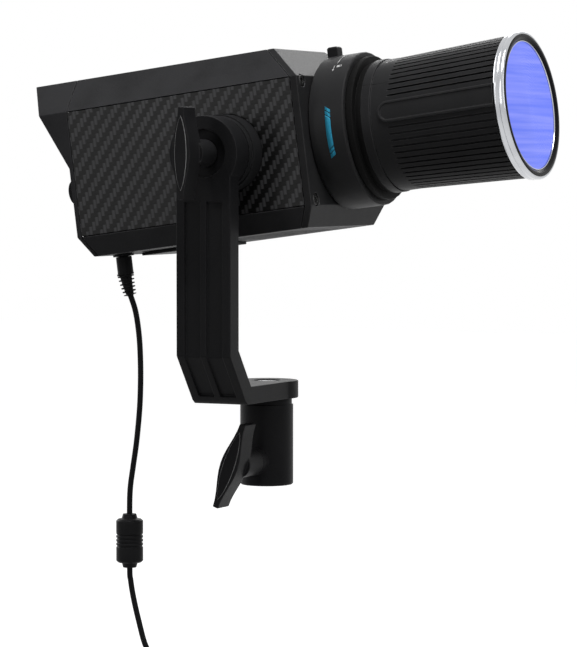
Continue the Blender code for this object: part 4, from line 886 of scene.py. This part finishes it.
plate_black = grained("label_black", (0.008, 0.008, 0.009), (0.013, 0.013, 0.014), (0.10, 0.10, 0.10), 0.32,
                      grain=2600, wear_and_highlight=0.6)
rim_grey = grained("label_rim_grey", (0.34, 0.34, 0.345), (0.46, 0.46, 0.465), (0.55, 0.55, 0.55), 0.4,
                   grain=2600, wear_and_highlight=0.3)
clamp_turn = Matrix.Translation((0, 0, -0.031)) @ Matrix.Rotation(math.radians(20), 4, "Y")
for name, body, spot in (("tilt", "tilt_clamp", Matrix.Translation((0, -0.11655, PIVOT.z))),
                         ("spigot", "spigot_clamp", clamp_turn @ Matrix.Translation((0, -0.05335, 0)))):
    for part, grow, thick, skin in (("rim", 0.00028, 0.00022, rim_grey),
                                    ("face", 0.0, 0.0004, plate_black)):
        title = name + "_label_" + part
        plate = add_object(title, lens_plate(title, grow, thick), skin, body, spot)
softened("tilt_bolt", bolt_steel, "tilt_clamp", 0.0002, WORLD)
softened("clamp_stud", bolt_steel, "spigot_clamp", 0.0002, WORLD)

# ---------------------------------------------------------------------------
# Inside the head. A finned heat sink, the light source on its board, the
# reflector, the cooling fan, the driver and control boards and the inlet.
# ---------------------------------------------------------------------------


def dressed(node, material):
    """An inner piece keeps its own solid and takes its finish."""
    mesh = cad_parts[node].data
    mesh.materials.clear()
    mesh.materials.append(material)


sink_alloy = grained("sink_alloy", (0.45, 0.46, 0.47), (0.56, 0.57, 0.58), (0.7, 0.7, 0.7), 0.40,
                     grain=900, depth=0.00005, wear_and_highlight=0.4, Metallic=1.0)
board_mask = grained("board_mask", (0.012, 0.09, 0.035), (0.020, 0.13, 0.05), (0.1, 0.2, 0.1), 0.42,
                     grain=1300, depth=0.00004, wear_and_highlight=0.3)
phosphor = grained("phosphor_ceramic", (0.62, 0.56, 0.30), (0.75, 0.70, 0.48), (0.8, 0.78, 0.7), 0.6,
                   grain=1600, depth=0.00005, wear_and_highlight=0.2)
mirror = grained("reflector_alloy", (0.66, 0.67, 0.68), (0.75, 0.76, 0.77), (0.8, 0.8, 0.8), 0.16,
                 grain=1200, depth=0.00002, wear_and_highlight=0.2, Metallic=1.0)
for node, material in (("heat_sink", sink_alloy), ("led_module", phosphor), ("reflector", mirror),
                       ("fan_frame", moulding), ("fan_rotor", moulding), ("driver_board", board_mask),
                       ("control_board", board_mask), ("dc_inlet", moulding)):
    dressed(node, material)

# ---------------------------------------------------------------------------
# Studio. A white floor under the hanging coil, a white surround for the eye and
# for what metal and glass reflect, and large soft lamps round the light.
# ---------------------------------------------------------------------------
FLOOR_Z, FLOOR_HALF = -0.2850, 6
FLOOR_WHITE = 0.965
SURROUND_LIGHT = 0.045    # what the surround gives the light's pieces as plain light


def seen_rays(tree):
    """1 for the eye and for what is mirrored or seen through glass, else 0."""
    path = tree.nodes.new("ShaderNodeLightPath").outputs
    mirrored = sums(tree, "MAXIMUM", path["Is Glossy Ray"], path["Is Transmission Ray"])
    return sums(tree, "MAXIMUM", path["Is Camera Ray"], mirrored)


floor_mesh = bpy.data.meshes.new("floor")
floor_mesh.from_pydata([(x * FLOOR_HALF, y * FLOOR_HALF, FLOOR_Z)
                        for x, y in ((-1, -1), (1, -1), (1, 1), (-1, 1))], [], [(0, 1, 2, 3)])
floor_finish = Finish("floor_paper", Roughness=0.9)
floor_finish.colour(floor_finish.shader.inputs["Base Color"], (0.26, 0.26, 0.26))
floor_finish.colour(floor_finish.shader.inputs["Emission Color"], (1, 1, 1))
floor_finish.link(sums(floor_finish.tree, "MULTIPLY", seen_rays(floor_finish.tree), FLOOR_WHITE),
                  floor_finish.shader.inputs["Emission Strength"])
floor = add_object("floor", floor_mesh, floor_finish.material, None)

world = bpy.data.worlds.new("surround")
world.use_nodes = True
bpy.context.scene.world = world
sky = world.node_tree
back = sky.nodes["Background"]
back.inputs["Color"].default_value = (1, 1, 1, 1)
sky.links.new(sums(sky, "MULTIPLY_ADD", seen_rays(sky), 1.0 - SURROUND_LIGHT, SURROUND_LIGHT),
              back.inputs["Strength"])


def lamp(name, place, size, power):
    """A large soft lamp that faces the light's head."""
    data = bpy.data.lights.new(name, "AREA")
    data.shape = "RECTANGLE"
    data.size, data.size_y = size
    data.energy = power
    made = bpy.data.objects.new(name, data)
    bpy.context.scene.collection.objects.link(made)
    made.location = place
    made.rotation_euler = (PIVOT - Vector(place)).to_track_quat("-Z", "Y").to_euler()


lamp("top_lamp", (0.30, -0.45, 1.60), (0.8, 0.8), 19)
lamp("left_lamp", (-0.95, -1.75, 0.80), (0.34, 1.2), 4.2)
lamp("front_lamp", (1.7, -0.5, 0.9), (0.5, 1.1), 6)
lamp("rim_lamp", (-0.35, 2.1, 1.25), (1.6, 0.8), 13)
lamp("rear_lamp", (-2.0, 0.7, 0.8), (1.0, 1.0), 14)
